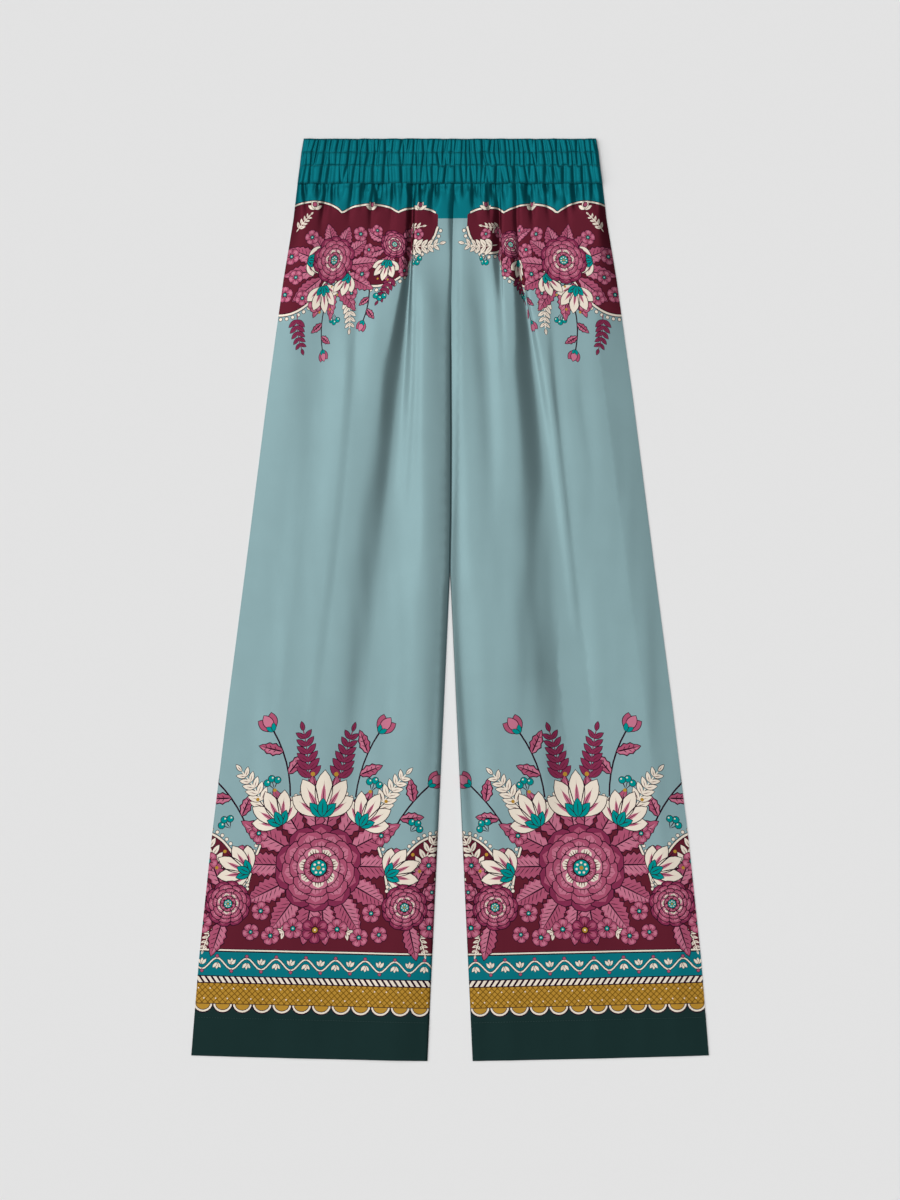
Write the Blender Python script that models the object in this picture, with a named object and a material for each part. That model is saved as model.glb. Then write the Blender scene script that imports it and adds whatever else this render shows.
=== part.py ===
"""Palazzo pants in printed silk, laid flat on their back on a table.

Metres. The table is z = 0, the waist points to +Y, the hems to -Y, and the front faces up (+Z).
The origin is the middle of the outline, on the table. "right" and "left" are the wearer's, so the
right leg lies at -X. Widths are measured from the centre front and lengths down from the waist top.
Each leg is a front panel lying on a back panel; the elastic waistband has a front and a back half.
"""

import math

import bmesh
import bpy

MM = 0.001

# Driving sizes of the laid garment.
TOTAL_LENGTH = 1060 * MM
WAISTBAND_DEPTH = 52 * MM
LEGS_PART_DOWN = 498 * MM  # where the two legs stop touching
HEM_INNER = 26 * MM  # half of the gap between the legs at the hem
HEM_OUTER = 298 * MM
HEM_SLANT = 6.5 * MM  # the outer hem corner lies higher than the inner one
HEM_TURN_UP = 46 * MM

CLOTH = 1.2 * MM  # wall of a leg panel
SEAM_GAP = 0.3 * MM
BAND_HALF = 3.0 * MM  # casing and elastic of one half of the waistband
HEM_STEP = 0.35 * MM  # the turned-up hem stands this proud of the single cloth
FRONT_LIES_AT = CLOTH + SEAM_GAP  # underside of a front panel where it rests on its back panel
FRONT_FLAT_TOP = FRONT_LIES_AT + CLOTH

# Half width of the outline at each distance down from the waist top.
# columns: down, outer edge
OUTER_EDGE = (
    (0 * MM, 168.0 * MM),
    (16 * MM, 170.8 * MM),
    (31 * MM, 172.5 * MM),
    (52 * MM, 175.3 * MM),
    (93 * MM, 180.0 * MM),
    (162 * MM, 191.5 * MM),
    (300 * MM, 210.5 * MM),
    (490 * MM, 234.6 * MM),
    (645 * MM, 254.7 * MM),
    (806 * MM, 274.3 * MM),
    (944 * MM, 288.7 * MM),
    (1060 * MM, HEM_OUTER),
)

# How far a front panel is lifted off its back panel by the air between them.
# columns: down, lift
LOFT = (
    (52 * MM, 3.0 * MM),
    (85 * MM, 2.8 * MM),
    (150 * MM, 2.4 * MM),
    (400 * MM, 2.0 * MM),
    (700 * MM, 1.2 * MM),
    (960 * MM, 0.3 * MM),
    (1060 * MM, 0.0 * MM),
)

# The long soft folds of each front panel, in millimetres. Seen with the hems below, each one slopes
# down to the right to its foot, and the cloth rises again past it. A table follows one fold down.
# columns: down, across of the foot, width of the slope, how far it drops, width of the way back up
FOLDS = {
    "right": (
        (
            (53, 42.5, 8, 3.2, 4),
            (120, 43.5, 9, 4.6, 4),
            (162, 44, 10, 6.0, 4),
            (223, 50.5, 21, 7.2, 5),
            (300, 58, 27, 7.0, 8),
            (392, 65.5, 36, 6.6, 13),
            (484, 76, 41, 5.8, 26),
            (611, 93, 38, 5.2, 34),
            (760, 107, 42, 2.4, 40),
            (880, 114, 44, 0, 44),
        ),
        (
            (150, 104, 10, 0, 10),
            (210, 106, 12, 1.4, 12),
            (320, 114, 12, 1.4, 12),
            (484, 129, 12, 1.2, 14),
            (576, 140, 13, 0.9, 16),
            (760, 162, 16, 0, 18),
        ),
        (
            (90, 124, 44, 0, 16),
            (180, 137, 50, 2.8, 20),
            (262, 146, 54, 3.8, 24),
            (350, 156, 50, 2.2, 26),
            (560, 174, 46, 0, 26),
        ),
        (
            (150, 37, 8, 0, 4),
            (216, 38, 8, 1.0, 4),
            (300, 40, 8, 1.1, 5),
            (440, 46, 9, 0, 7),
        ),
    ),
    "left": (
        (
            (120, 77, 9, 0, 4),
            (150, 81, 12, 3.0, 4),
            (185, 87, 15, 5.6, 4),
            (231, 96, 22, 7.2, 5),
            (300, 104, 32, 8.0, 8),
            (392, 112, 42, 8.4, 11),
            (484, 124, 56, 8.6, 14),
            (530, 136, 68, 9.2, 16),
            (611, 139, 72, 9.2, 18),
            (700, 141, 70, 5.8, 30),
            (800, 144, 68, 2.0, 38),
            (900, 152, 72, 0, 40),
        ),
        (
            (53, 57, 10, 2.4, 4),
            (96, 57.3, 12, 4.0, 4),
            (145, 58, 12, 3.6, 4),
            (190, 59.5, 9, 1.2, 4),
            (300, 63, 8, 0, 5),
        ),
        (
            (170, 118, 10, 0, 8),
            (262, 122, 12, 1.5, 8),
            (346, 130, 12, 2.3, 9),
            (438, 139, 12, 2.4, 10),
            (530, 150, 12, 2.1, 12),
            (700, 166, 14, 0, 14),
        ),
        (
            (110, 30, 20, 0, 6),
            (190, 40, 24, 3.0, 9),
            (262, 45, 24, 3.8, 10),
            (346, 48, 22, 3.4, 12),
            (420, 52, 24, 1.6, 14),
            (520, 58, 24, 0, 14),
        ),
        (
            (230, 150, 12, 0, 10),
            (300, 153, 12, 0.9, 10),
            (430, 166, 14, 0, 10),
        ),
        (
            (180, 7, 5, 1.0, 4),
            (392, 10, 6, 1.2, 6),
            (484, 13, 15, 2.6, 8),
            (611, 16.5, 20, 4.0, 10),
            (700, 23, 19, 3.2, 10),
            (800, 32, 17, 1.8, 10),
            (960, 44, 14, 0.6, 10),
        ),
    ),
}
CREST_SHARE = 0.45  # the part of a fold's drop that stands above the cloth round it
FOLD_SHOULDER = 14 * MM  # a crest is this much wider on its far side than the slope

# How the lifted panel comes back down at its edges.
SIDE_ROLL = {"right": 60 * MM, "left": 33 * MM}
SIDE_ROUNDNESS = 1.25
INSEAM_ROLL = {"right": 26 * MM, "left": 12 * MM}
CENTRE_SEAM_ROLL = 4 * MM
CENTRE_SEAM_DIP = 0.22  # share of the lift that is lost along the centre front seam
INSEAM_STARTS = (130 * MM, 260 * MM)  # the centre seam turns into the inseam between these

# The casing is sewn into three channels.
# columns: top, bottom, gather height, mesh columns to a gather
CHANNELS = (
    (0 * MM, 16 * MM, 1.7 * MM, 2),
    (16 * MM, 31 * MM, 1.5 * MM, 2),
    (31 * MM, 52 * MM, 2.1 * MM, 3),
)
BAND_COLUMNS = 102  # 51 gathers in each of the first two channels, and 34 in the third
BAND_PINCH = 2.0 * MM  # height of the front half along a stitch row, before its gathers
BAND_BELLY = 2.9 * MM  # and between two rows
BAND_END_ROLL = 3  # the outermost mesh columns, which come down to the side seam
BAND_END_DROP = 0.8 * MM
# The mesh rows of one channel. columns: share of its depth, share of the gather height, height
CHANNEL_ROWS = (
    (0.00, 0.35, BAND_PINCH),
    (0.18, 0.85, BAND_BELLY),
    (0.50, 1.00, BAND_BELLY + 0.2 * MM),
    (0.82, 0.85, BAND_BELLY),
)

# The gathers of each front panel are creases that run down from the waistband, in millimetres.
# columns: across at the waistband seam, length, depth
GATHERS = {
    "right": (
        (10, 34, 1.5), (19, 56, 2.0), (33, 30, 1.7), (42, 190, 2.2), (54, 44, 2.3), (65, 70, 1.9),
        (75, 36, 2.5), (87, 96, 2.1), (98, 30, 1.6), (111, 64, 2.3), (123, 26, 1.8), (132, 50, 1.2),
        (141, 80, 2.4), (149, 24, 1.4), (160, 50, 1.7), (168, 28, 1.1),
    ),
    "left": (
        (8, 36, 1.9), (15.5, 22, 1.4), (27, 50, 2.2), (36, 28, 1.3), (45, 66, 2.3), (54, 92, 2.0),
        (63, 44, 1.6), (75.5, 170, 2.3), (92, 70, 2.8), (101, 30, 1.5), (110, 58, 2.1), (120, 26, 1.4),
        (131, 72, 1.9), (143, 42, 2.1), (154, 28, 1.5), (164, 46, 1.6),
    ),
}
GATHER_SWELL = 1.6 * MM  # how far the cloth stands up between them at the waistband
SWELL_ENDS = 95 * MM  # below the waistband
GATHER_HALF = 2.6 * MM  # half width of a crease at the waistband
GATHER_WIDENS = 0.9  # it is this much wider, as a share, at its end
GATHER_FADES_FROM = 0.2  # share of its length at which a crease starts to flatten

# A step that keeps neighbouring gathers of the waistband unlike each other.
LENGTH_STEP = 0.618
LOWEST_GATHER = 0.6  # as a share of the highest

COLUMNS_TO_GATHER = 4  # the mesh of a front panel has a column in every crease, and so many to the next
# How far down the front panels the rows of the mesh lie, as shares of the panel.
LEG_ROWS = (0, 0.008, 0.022, 0.04, 0.06, 0.085, 0.115, 0.15, 0.19, 0.235, 0.285, 0.335, 0.385,
            0.44, 0.495, 0.555, 0.62, 0.685, 0.75, 0.81, 0.87, 0.92, 0.952, 0.956, 1.0)
SHARP_ANGLE = math.radians(50)

TEAL = (0.004, 0.105, 0.13, 1)
AQUA = (0.25, 0.36, 0.38, 1)


def smooth(value, start, end):
    """0 before start, 1 after end, with an S-shaped slope between them."""
    share = min(max((value - start) / (end - start), 0.0), 1.0)
    return share * share * (3 - 2 * share)


def read_table(table, value, column=1):
    """A column of a table, at this value of its first column."""
    for low, high in zip(table, table[1:]):
        if value <= high[0]:
            share = max(0.0, (value - low[0]) / (high[0] - low[0]))
            return low[column] + (high[column] - low[column]) * share
    return table[-1][column]


def outer_edge(down):
    return read_table(OUTER_EDGE, down)


def inner_edge(down):
    """Distance of a leg's inner edge from the centre: the legs touch, then part below the thighs."""
    spread = (down - LEGS_PART_DOWN) / (TOTAL_LENGTH - LEGS_PART_DOWN)
    return SEAM_GAP / 2 + (HEM_INNER - SEAM_GAP / 2) * max(spread, 0.0)


def hem_down(share):
    """Distance down to the hem, at this share of the way from the inner to the outer edge."""
    return TOTAL_LENGTH - HEM_SLANT * share


def place(side, across, down, height):
    """The point of the garment, in metres, for distances measured on one leg."""
    sign = -1 if side == "right" else 1
    return sign * across, TOTAL_LENGTH / 2 - down, height


def uneven(number, step):
    """A repeatable share from 0 to 1 that differs from one gather to the next."""
    return (number * step) % 1.0


def leg_columns(side):
    """Where the mesh columns of a front panel lie, as shares of the way to its outer edge."""
    width = outer_edge(WAISTBAND_DEPTH)
    creases = [0.0] + [across * MM / width for across, _, _ in GATHERS[side]] + [1.0]
    shares = [0.0]
    for start, end in zip(creases, creases[1:]):
        shares += [start + (end - start) * step / COLUMNS_TO_GATHER for step in range(1, COLUMNS_TO_GATHER + 1)]
    return shares


def crease_depth(side, share, down):
    """The short creases below the waistband. Each keeps to its own column of the mesh."""
    below = down - WAISTBAND_DEPTH
    total = 0.0
    for across, length, depth in GATHERS[side]:
        away = share * outer_edge(WAISTBAND_DEPTH) - across * MM
        half = GATHER_HALF * (1 + GATHER_WIDENS * below / (length * MM))
        fade = 1 - smooth(below, GATHER_FADES_FROM * length * MM, length * MM)
        total += depth * MM * fade * math.exp(-((away / half) ** 2))
    return total


def fold_height(side, across, down):
    """The long folds of a front panel, added up."""
    total = 0.0
    for rows in FOLDS[side]:
        foot, width, drop, back = (read_table(rows, down / MM, column) * MM for column in (1, 2, 3, 4))
        past = foot - across if side == "right" else across - foot
        crest = CREST_SHARE * drop
        if past < -width:
            total += crest * math.exp(-(((past + width) / (width + FOLD_SHOULDER)) ** 2))
        elif past < 0:
            total += crest - drop * smooth(past, -width, 0)
        else:
            total -= (drop - crest) * math.exp(-((past / back) ** 2))
    return total


def front_top(side, share, down):
    """Height of the upper face of a front panel."""
    inner, outer = inner_edge(down), outer_edge(down)
    across = inner + (outer - inner) * share
    side_seam = 1 - (1 - min((outer - across) / SIDE_ROLL[side], 1.0)) ** SIDE_ROUNDNESS
    inseam = 1 - (1 - min((across - inner) / INSEAM_ROLL[side], 1.0)) ** 2
    centre_seam = 1 - CENTRE_SEAM_DIP * (1 - smooth(across - inner, 0, CENTRE_SEAM_ROLL))
    inner_side = centre_seam + (inseam - centre_seam) * smooth(down, *INSEAM_STARTS)
    swell = GATHER_SWELL * (1 - smooth(down - WAISTBAND_DEPTH, 0, SWELL_ENDS))
    lift = read_table(LOFT, down) + fold_height(side, across, down) + swell - crease_depth(side, share, down)
    hem = HEM_STEP if down > hem_down(share) - HEM_TURN_UP else 0.0
    return FRONT_FLAT_TOP + max(lift, 0.0) * side_seam * inner_side + hem


def material(name, colour, roughness):
    made = bpy.data.materials.new(name)
    made.use_nodes = True
    shader = made.node_tree.nodes["Principled BSDF"]
    shader.inputs["Base Color"].default_value = colour
    shader.inputs["Roughness"].default_value = roughness
    shader.inputs["Metallic"].default_value = 0.0
    return made


def new_object(name, data, cloth, garment):
    made = bpy.data.objects.new(name, data)
    made.data.materials.append(cloth)
    garment.objects.link(made)
    return made


def grid_with_places(columns, rows, point_at):
    """A grid of columns by rows cells, each vertex set to point_at(column number, row number)."""
    mesh = bmesh.new()
    bmesh.ops.create_grid(mesh, x_segments=columns, y_segments=rows, size=0.5)
    for vertex in mesh.verts:
        column = round((vertex.co.x + 0.5) * columns)
        row = round((0.5 - vertex.co.y) * rows)
        vertex.co = point_at(column, row)
    return mesh


def as_mesh_object(name, mesh, cloth, garment):
    bmesh.ops.recalc_face_normals(mesh, faces=mesh.faces[:])
    data = bpy.data.meshes.new(name)
    mesh.to_mesh(data)
    mesh.free()
    data.shade_smooth()
    data.set_sharp_from_angle(angle=SHARP_ANGLE)
    return new_object(name, data, cloth, garment)


def front_leg(side, cloth, garment):
    """A front panel: its folded and gathered face, with a wall of cloth let down under it."""

    columns = leg_columns(side)

    def point_at(column, row):
        share = columns[column]
        seam_down = WAISTBAND_DEPTH + SEAM_GAP
        down = seam_down + (hem_down(share) - seam_down) * LEG_ROWS[row]
        inner, outer = inner_edge(down), outer_edge(down)
        across = inner + (outer - inner) * share
        return place(side, across, down, front_top(side, share, down))

    mesh = grid_with_places(len(columns) - 1, len(LEG_ROWS) - 1, point_at)
    wall = bmesh.ops.extrude_face_region(mesh, geom=mesh.faces[:])["geom"]
    under = [part for part in wall if isinstance(part, bmesh.types.BMVert)]
    bmesh.ops.translate(mesh, verts=under, vec=(0, 0, -CLOTH))
    return as_mesh_object(f"front_leg_{side}", mesh, cloth, garment)


def flat_piece(name, outline, thickness, cloth, garment):
    """A piece that lies flat on the table: its outline as a filled curve, with a thickness."""
    curve = bpy.data.curves.new(name, "CURVE")
    curve.dimensions = "2D"
    curve.fill_mode = "BOTH"
    curve.extrude = thickness / 2
    spline = curve.splines.new("POLY")
    spline.points.add(len(outline) - 1)
    for point, (x, y) in zip(spline.points, outline):
        point.co = (x, y, 0, 1)
    spline.use_cyclic_u = True
    made = new_object(name, curve, cloth, garment)
    made.location.z = thickness / 2
    return made


def back_leg(side, cloth, garment):
    """A back panel, which the whole garment rests on."""
    seam_down = WAISTBAND_DEPTH + SEAM_GAP
    outer_downs = [seam_down] + [down for down, _ in OUTER_EDGE if WAISTBAND_DEPTH < down < TOTAL_LENGTH]
    outline = [place(side, outer_edge(down), down, 0)[:2] for down in outer_downs]
    outline.append(place(side, outer_edge(hem_down(1)), hem_down(1), 0)[:2])
    outline.append(place(side, inner_edge(hem_down(0)), hem_down(0), 0)[:2])
    outline.append(place(side, inner_edge(LEGS_PART_DOWN), LEGS_PART_DOWN, 0)[:2])
    outline.append(place(side, inner_edge(seam_down), seam_down, 0)[:2])
    return flat_piece(f"back_leg_{side}", outline, CLOTH, cloth, garment)


def waistband_back(cloth, garment):
    """The back half of the elastic casing, pressed flat against the table."""
    downs = [down for down, _ in OUTER_EDGE if down <= WAISTBAND_DEPTH]
    left = [(outer_edge(down), TOTAL_LENGTH / 2 - down) for down in downs]
    right = [(-x, y) for x, y in reversed(left)]
    return flat_piece("waistband_back", left + right, BAND_HALF, cloth, garment)


def band_rows():
    """(down, gather height, height before gathers, columns to a gather) for each row of the casing."""
    rows = []
    for top, bottom, gather, columns in CHANNELS:
        for depth_share, gather_share, height in CHANNEL_ROWS:
            rows.append((top + (bottom - top) * depth_share, gather * gather_share, height, columns))
    rows.append((WAISTBAND_DEPTH, gather * CHANNEL_ROWS[0][1], BAND_PINCH, columns))
    return rows


def waistband_front(cloth, garment):
    """The front half of the casing: gathered over its elastic, and pinched by the stitch rows."""
    rows = band_rows()

    def point_at(column, row):
        down, gather, belly, columns_to_gather = rows[row]
        half = outer_edge(down)
        number = column // columns_to_gather + columns_to_gather
        crest = gather * (LOWEST_GATHER + (1 - LOWEST_GATHER) * uneven(number, LENGTH_STEP))
        if column % columns_to_gather == 0:
            crest = 0.0
        to_end = min(column, BAND_COLUMNS - column)
        end_drop = BAND_END_DROP * max(0.0, 1 - to_end / BAND_END_ROLL)
        height = BAND_HALF + SEAM_GAP + belly + crest - end_drop
        return half * (2 * column / BAND_COLUMNS - 1), TOTAL_LENGTH / 2 - down, height

    mesh = grid_with_places(BAND_COLUMNS, len(rows) - 1, point_at)
    rim = [edge for edge in mesh.edges if edge.is_boundary]
    wall = bmesh.ops.extrude_edge_only(mesh, edges=rim)["geom"]
    for part in wall:
        if isinstance(part, bmesh.types.BMVert):
            part.co.z = BAND_HALF + SEAM_GAP
    lower_rim = [part for part in wall if isinstance(part, bmesh.types.BMEdge) and part.is_boundary]
    bmesh.ops.contextual_create(mesh, geom=lower_rim)
    return as_mesh_object("waistband_front", mesh, cloth, garment)


def main():
    for old in list(bpy.data.objects):
        bpy.data.objects.remove(old)
    garment = bpy.data.collections.new("palazzo_pants")
    bpy.context.scene.collection.children.link(garment)
    leg_cloth = material("printed_silk", AQUA, 0.45)
    band_cloth = material("teal_silk", TEAL, 0.5)
    waistband_front(band_cloth, garment)
    waistband_back(band_cloth, garment)
    for side in ("right", "left"):
        front_leg(side, leg_cloth, garment)
        back_leg(side, leg_cloth, garment)


main()
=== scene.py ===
"""Palazzo pants in printed silk satin, laid flat on their back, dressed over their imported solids."""

import math
import random

import bpy
import numpy as np
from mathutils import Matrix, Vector
from mathutils.geometry import delaunay_2d_cdt


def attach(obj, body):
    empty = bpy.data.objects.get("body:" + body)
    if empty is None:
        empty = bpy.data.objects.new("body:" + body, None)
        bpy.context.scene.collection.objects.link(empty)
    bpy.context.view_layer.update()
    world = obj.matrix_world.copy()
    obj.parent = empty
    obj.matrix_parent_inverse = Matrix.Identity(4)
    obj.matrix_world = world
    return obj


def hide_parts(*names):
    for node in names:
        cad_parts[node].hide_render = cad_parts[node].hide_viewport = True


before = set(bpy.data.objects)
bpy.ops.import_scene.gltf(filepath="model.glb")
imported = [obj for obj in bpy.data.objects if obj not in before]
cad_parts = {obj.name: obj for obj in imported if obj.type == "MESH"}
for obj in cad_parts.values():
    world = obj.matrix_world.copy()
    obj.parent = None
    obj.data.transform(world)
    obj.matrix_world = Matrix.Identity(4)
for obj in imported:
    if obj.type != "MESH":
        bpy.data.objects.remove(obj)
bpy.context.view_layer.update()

bpy.ops.object.select_all(action="DESELECT")

# ---------------------------------------------------------------------------------------------
# The print. Each leg panel is cut from a length of silk satin that was printed to fit it: plain
# grey-blue in the middle, a flower border above the dark green hem, and a flower swag under the
# teal waist. It is drawn in millimetres on the flat cut, from the inner seam out and the hem up.
# ---------------------------------------------------------------------------------------------
DYES = {
    "aqua": (139, 169, 173),
    "teal": (13, 115, 126),
    "bright_teal": (0, 142, 140),
    "dark_green": (29, 50, 49),
    "burgundy": (97, 33, 47),
    "dark_rose": (132, 48, 80),
    "rose": (172, 84, 112),
    "light_rose": (196, 116, 140),
    "cream": (236, 224, 208),
    "gold": (182, 138, 52),
    "dark_gold": (112, 78, 24),
    "ink": (40, 17, 33),
}
dye_names = list(DYES)
CUT_LENGTH = 1007.7  # from the waistband seam to the hem edge
CUT_WAIST = 230.0
CUT_HEM = 274.0
MIDDLE = CUT_HEM / 2
stamps = []  # (dye, outline) in the order in which they are printed


def cut_width(height):
    """Width of the cut panel at this height above the hem edge."""
    return CUT_HEM + (CUT_WAIST - CUT_HEM) * height / CUT_LENGTH


def turned(points, at, turn):
    """Points that grow up from the origin, turned anticlockwise by degrees and moved to their place."""
    c, s = math.cos(math.radians(turn)), math.sin(math.radians(turn))
    points = np.asarray(points, float)
    return points @ np.array([[c, s], [-s, c]]) + at


def stamp(dye, points, at=(0.0, 0.0), turn=0.0):
    stamps.append((dye_names.index(dye), turned(points, at, turn)))


def blade(length, width, belly=1.0, blunt=0.8, steps=8, tooth=0.0, notch=0.0):
    """Outline of a petal or a leaf that grows up from the origin."""
    u = np.linspace(0, 1, steps + 1)
    half = width / 2 * np.clip(np.sin(np.pi * u**belly), 0, 1) ** blunt
    half[1:-1:2] *= 1 + tooth
    half[2:-1:2] *= 1 - tooth
    height = u * length
    height[-1] -= notch * length
    left = np.column_stack([-half, height])
    right = np.column_stack([half, height])[1:-1]
    return np.vstack([left, right[::-1]])


def disc(dye, at, radius, sides=12, squash=1.0):
    turn = np.arange(sides) * 2 * np.pi / sides
    stamp(dye, np.column_stack([np.cos(turn), np.sin(turn) * squash]) * radius, at)


def inked(dye, length, width, at, turn, edge=0.7, **form):
    """A blade with a dark line round it."""
    back = turned([(0, -edge)], at, turn)[0]
    stamp("ink", blade(length + 2 * edge, width + 2 * edge, **form), back, turn)
    stamp(dye, blade(length, width, **form), at, turn)


def dot(dye, at, radius, sides=8, edge=0.6):
    """A disc with a dark line round it."""
    disc("ink", at, radius + edge, sides)
    disc(dye, at, radius, sides)


def ribbon(dye, path, width):
    """A band of even width along a path."""
    path = np.asarray(path, float)
    along = np.gradient(path, axis=0)
    along /= np.linalg.norm(along, axis=1)[:, None]
    aside = np.column_stack([-along[:, 1], along[:, 0]]) * width / 2
    stamp(dye, np.vstack([path + aside, (path - aside)[::-1]]))


def lengths_along(path):
    """How far along a path each of its points lies."""
    return np.r_[0, np.cumsum(np.linalg.norm(np.diff(path, axis=0), axis=1))]


def beads(path, pitch, radius, aside):
    """Cream beads at even steps beside a path."""
    steps = lengths_along(path)
    places = np.arange(pitch / 2, steps[-1], pitch)
    x, y = (np.interp(places, steps, path[:, axis]) for axis in (0, 1))
    dx, dy = (np.interp(places, steps, np.gradient(path[:, axis])) for axis in (0, 1))
    scale = aside / np.hypot(dx, dy)
    for place in zip(x - dy * scale, y + dx * scale):
        dot("cream", place, radius)


def leaf(at, turn, length, width, teeth=7):
    """A toothed leaf with one lit half, a midrib and slanting veins."""
    form = dict(belly=0.85, blunt=0.9, steps=2 * teeth, tooth=0.13)
    inked("rose", length, width, at, turn, 1.0, **form)
    outline = blade(length * 0.94, width * 0.86, **form)
    stamp("light_rose", outline[outline[:, 0] >= -1e-6], at, turn)
    stamp("ink", blade(length * 0.97, 1.3, belly=0.6), at, turn)
    for rib in range(1, teeth):
        up = length * (0.08 + 0.8 * rib / teeth)
        reach = width * 0.52 * math.sin(math.pi * (up / length) ** 0.85)
        for side in (-1, 1):
            base = turned([(0, up)], at, turn)[0]
            stamp("ink", blade(reach, 0.75, steps=2), base, turn + side * 48)


def blossom(at, radius, turn=0.0, petals=5, dye="rose", lit="light_rose", eye="bright_teal"):
    """A small open flower of round petals."""
    for number in range(petals):
        way = turn + number * 360 / petals
        inked(dye, radius, radius * 4.2 / petals, at, way, 0.6, belly=1.7, blunt=0.6, steps=7, notch=0.07)
        inner = turned([(0, radius * 0.3)], at, way)[0]
        stamp(lit, blade(radius * 0.58, radius * 2.2 / petals, belly=1.5, steps=5), inner, way)
        stamp("burgundy", blade(radius * 0.62, radius * 0.13, belly=0.7, steps=3), at, way)
    disc("ink", at, radius * 0.27, 10)
    disc(eye, at, radius * 0.19, 10)
    disc("cream", at, radius * 0.07, 6)


def peony(at, radius, turn=0.0):
    """A full round flower: rings of notched petals, smaller and closer towards a teal heart."""
    rings = (
        (1.00, 10, "dark_rose", "rose"),
        (0.84, 9, "rose", "light_rose"),
        (0.66, 8, "rose", "light_rose"),
        (0.49, 7, "light_rose", "cream"),
        (0.33, 6, "rose", "light_rose"),
    )
    for ring, (share, petals, dye, lit) in enumerate(rings):
        length = radius * share
        for number in range(petals):
            way = turn + (number + 0.5 * (ring % 2)) * 360 / petals + 4 * math.sin(3 * number + ring)
            width = length * 5.6 / petals
            inked(dye, length, width, at, way, 0.8, belly=2.1, blunt=0.62, steps=9, tooth=0.05, notch=0.06)
            inner = turned([(0, length * 0.22)], at, way)[0]
            stamp(lit, blade(length * 0.66, width * 0.62, belly=1.9, blunt=0.7, steps=7), inner, way)
            for lean in (-9, 0, 9):
                streak = blade(length * 0.86, 0.9 + radius * 0.008, belly=1.6, steps=4)
                stamp("burgundy", streak, at, way + lean)
    disc("ink", at, radius * 0.2, 14)
    disc("bright_teal", at, radius * 0.17, 14)
    for number in range(7):
        way = math.radians(number * 360 / 7)
        spot = (at[0] + math.sin(way) * radius * 0.11, at[1] + math.cos(way) * radius * 0.11)
        disc("cream", spot, radius * 0.028, 6)
    disc("gold", at, radius * 0.045, 8)


def lily(at, turn, size):
    """A cream lily seen from the side, in a teal cup, with two stamens."""
    for lean, share in ((-58, 0.78), (58, 0.78), (-31, 0.92), (31, 0.92), (0, 1.0)):
        length = size * share
        inked("cream", length, size * 0.36, at, turn + lean, 0.8, belly=1.25, blunt=0.75, steps=8)
        stamp("light_rose", blade(length * 0.72, size * 0.11, belly=1.1, steps=5), at, turn + lean)
        stamp("burgundy", blade(length * 0.8, 0.9, belly=0.8, steps=3), at, turn + lean)
    for lean in (-16, 15):
        stamp("ink", blade(size * 0.95, 1.1, belly=1.6, steps=4), at, turn + lean)
        disc("gold", turned([(0, size * 0.95)], at, turn + lean)[0], size * 0.05, 8)
    for lean in (-44, 44, 0):
        inked("bright_teal", size * 0.4, size * 0.2, at, turn + lean, 0.7, belly=0.9)
        stamp("ink", blade(size * 0.34, 0.8, steps=3), at, turn + lean)


def sprig(at, turn, length, pairs=5, dye="cream", bend=18.0, outline=False):
    """A bending stem of small leaves in pairs, with one at its tip."""
    place, way = np.array(at, float), turn
    step = length / (pairs + 1)
    for pair in range(pairs + 1):
        size = length * 0.3 * (1 - 0.5 * pair / (pairs + 1))
        stem = blade(step * 1.25, 1.3, belly=0.7, steps=3)
        stamp(dye, stem, place, way)
        place = turned([(0, step)], place, way)[0]
        for lean in (-47, 47) if pair < pairs else (0,):
            if outline:
                inked(dye, size, size * 0.42, place, way + lean, 0.6, belly=0.9, steps=6)
            else:
                stamp(dye, blade(size, size * 0.42, belly=0.9, steps=6), place, way + lean)
            stamp("burgundy", blade(size * 0.7, 0.6, steps=2), place, way + lean)
        way += bend / (pairs + 1)


def berries(at, turn):
    """Three round berries on short stalks."""
    radius = 2.9
    for lean, reach in ((-34, 3.0), (0, 3.4), (34, 3.0)):
        way = turn + lean
        tip = turned([(0, radius * reach)], at, way)[0]
        stamp("ink", blade(radius * 3.4, 0.9, steps=3), at, way)
        dot("bright_teal", tip, radius, 10)
        disc("cream", tip + (-0.3 * radius, 0.35 * radius), radius * 0.28, 6)


def stalk(at, turn, length, bend, tip_size):
    """A bare bending stem with two small leaves, which ends in a bud."""
    place, way, path, leaves = np.array(at, float), turn, [at], []
    for part in range(6):
        place = turned([(0, length / 6)], place, way)[0]
        path.append(tuple(place))
        way += bend / 6
        if part in (1, 3):
            leaves.append((place, way + (52 if part == 1 else -52)))
    ribbon("ink", path, 1.5)
    for spot, lean in leaves:
        leaf(spot, lean, length * 0.36, length * 0.15, teeth=4)
    for lean in (-24, 24, 0):
        inked("rose" if lean else "light_rose", tip_size, tip_size * 0.5, place, way + lean, belly=1.2)
    for lean in (-30, 30):
        inked("bright_teal", tip_size * 0.45, tip_size * 0.22, place, way + lean, 0.6)


def arches(x, parts, base):
    """Height of a row of round arches. parts: middle, half width, rise of each."""
    height = np.full(len(x), float(base))
    for middle, half, rise in parts:
        inside = np.clip(1 - ((x - middle) / half) ** 2, 0, 1)
        height = np.maximum(height, base + rise * np.sqrt(inside))
    return height


def cord(path, width, inner_width):
    """A cream cord with a dark line on both sides."""
    ribbon("ink", path, width)
    ribbon("cream", path, inner_width)


def edging(path, out=1.0):
    """A cord with a row of beads outside it."""
    cord(path, 4.0, 2.3)
    beads(path, 6.4, 1.9, aside=4.6 * out)


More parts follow.
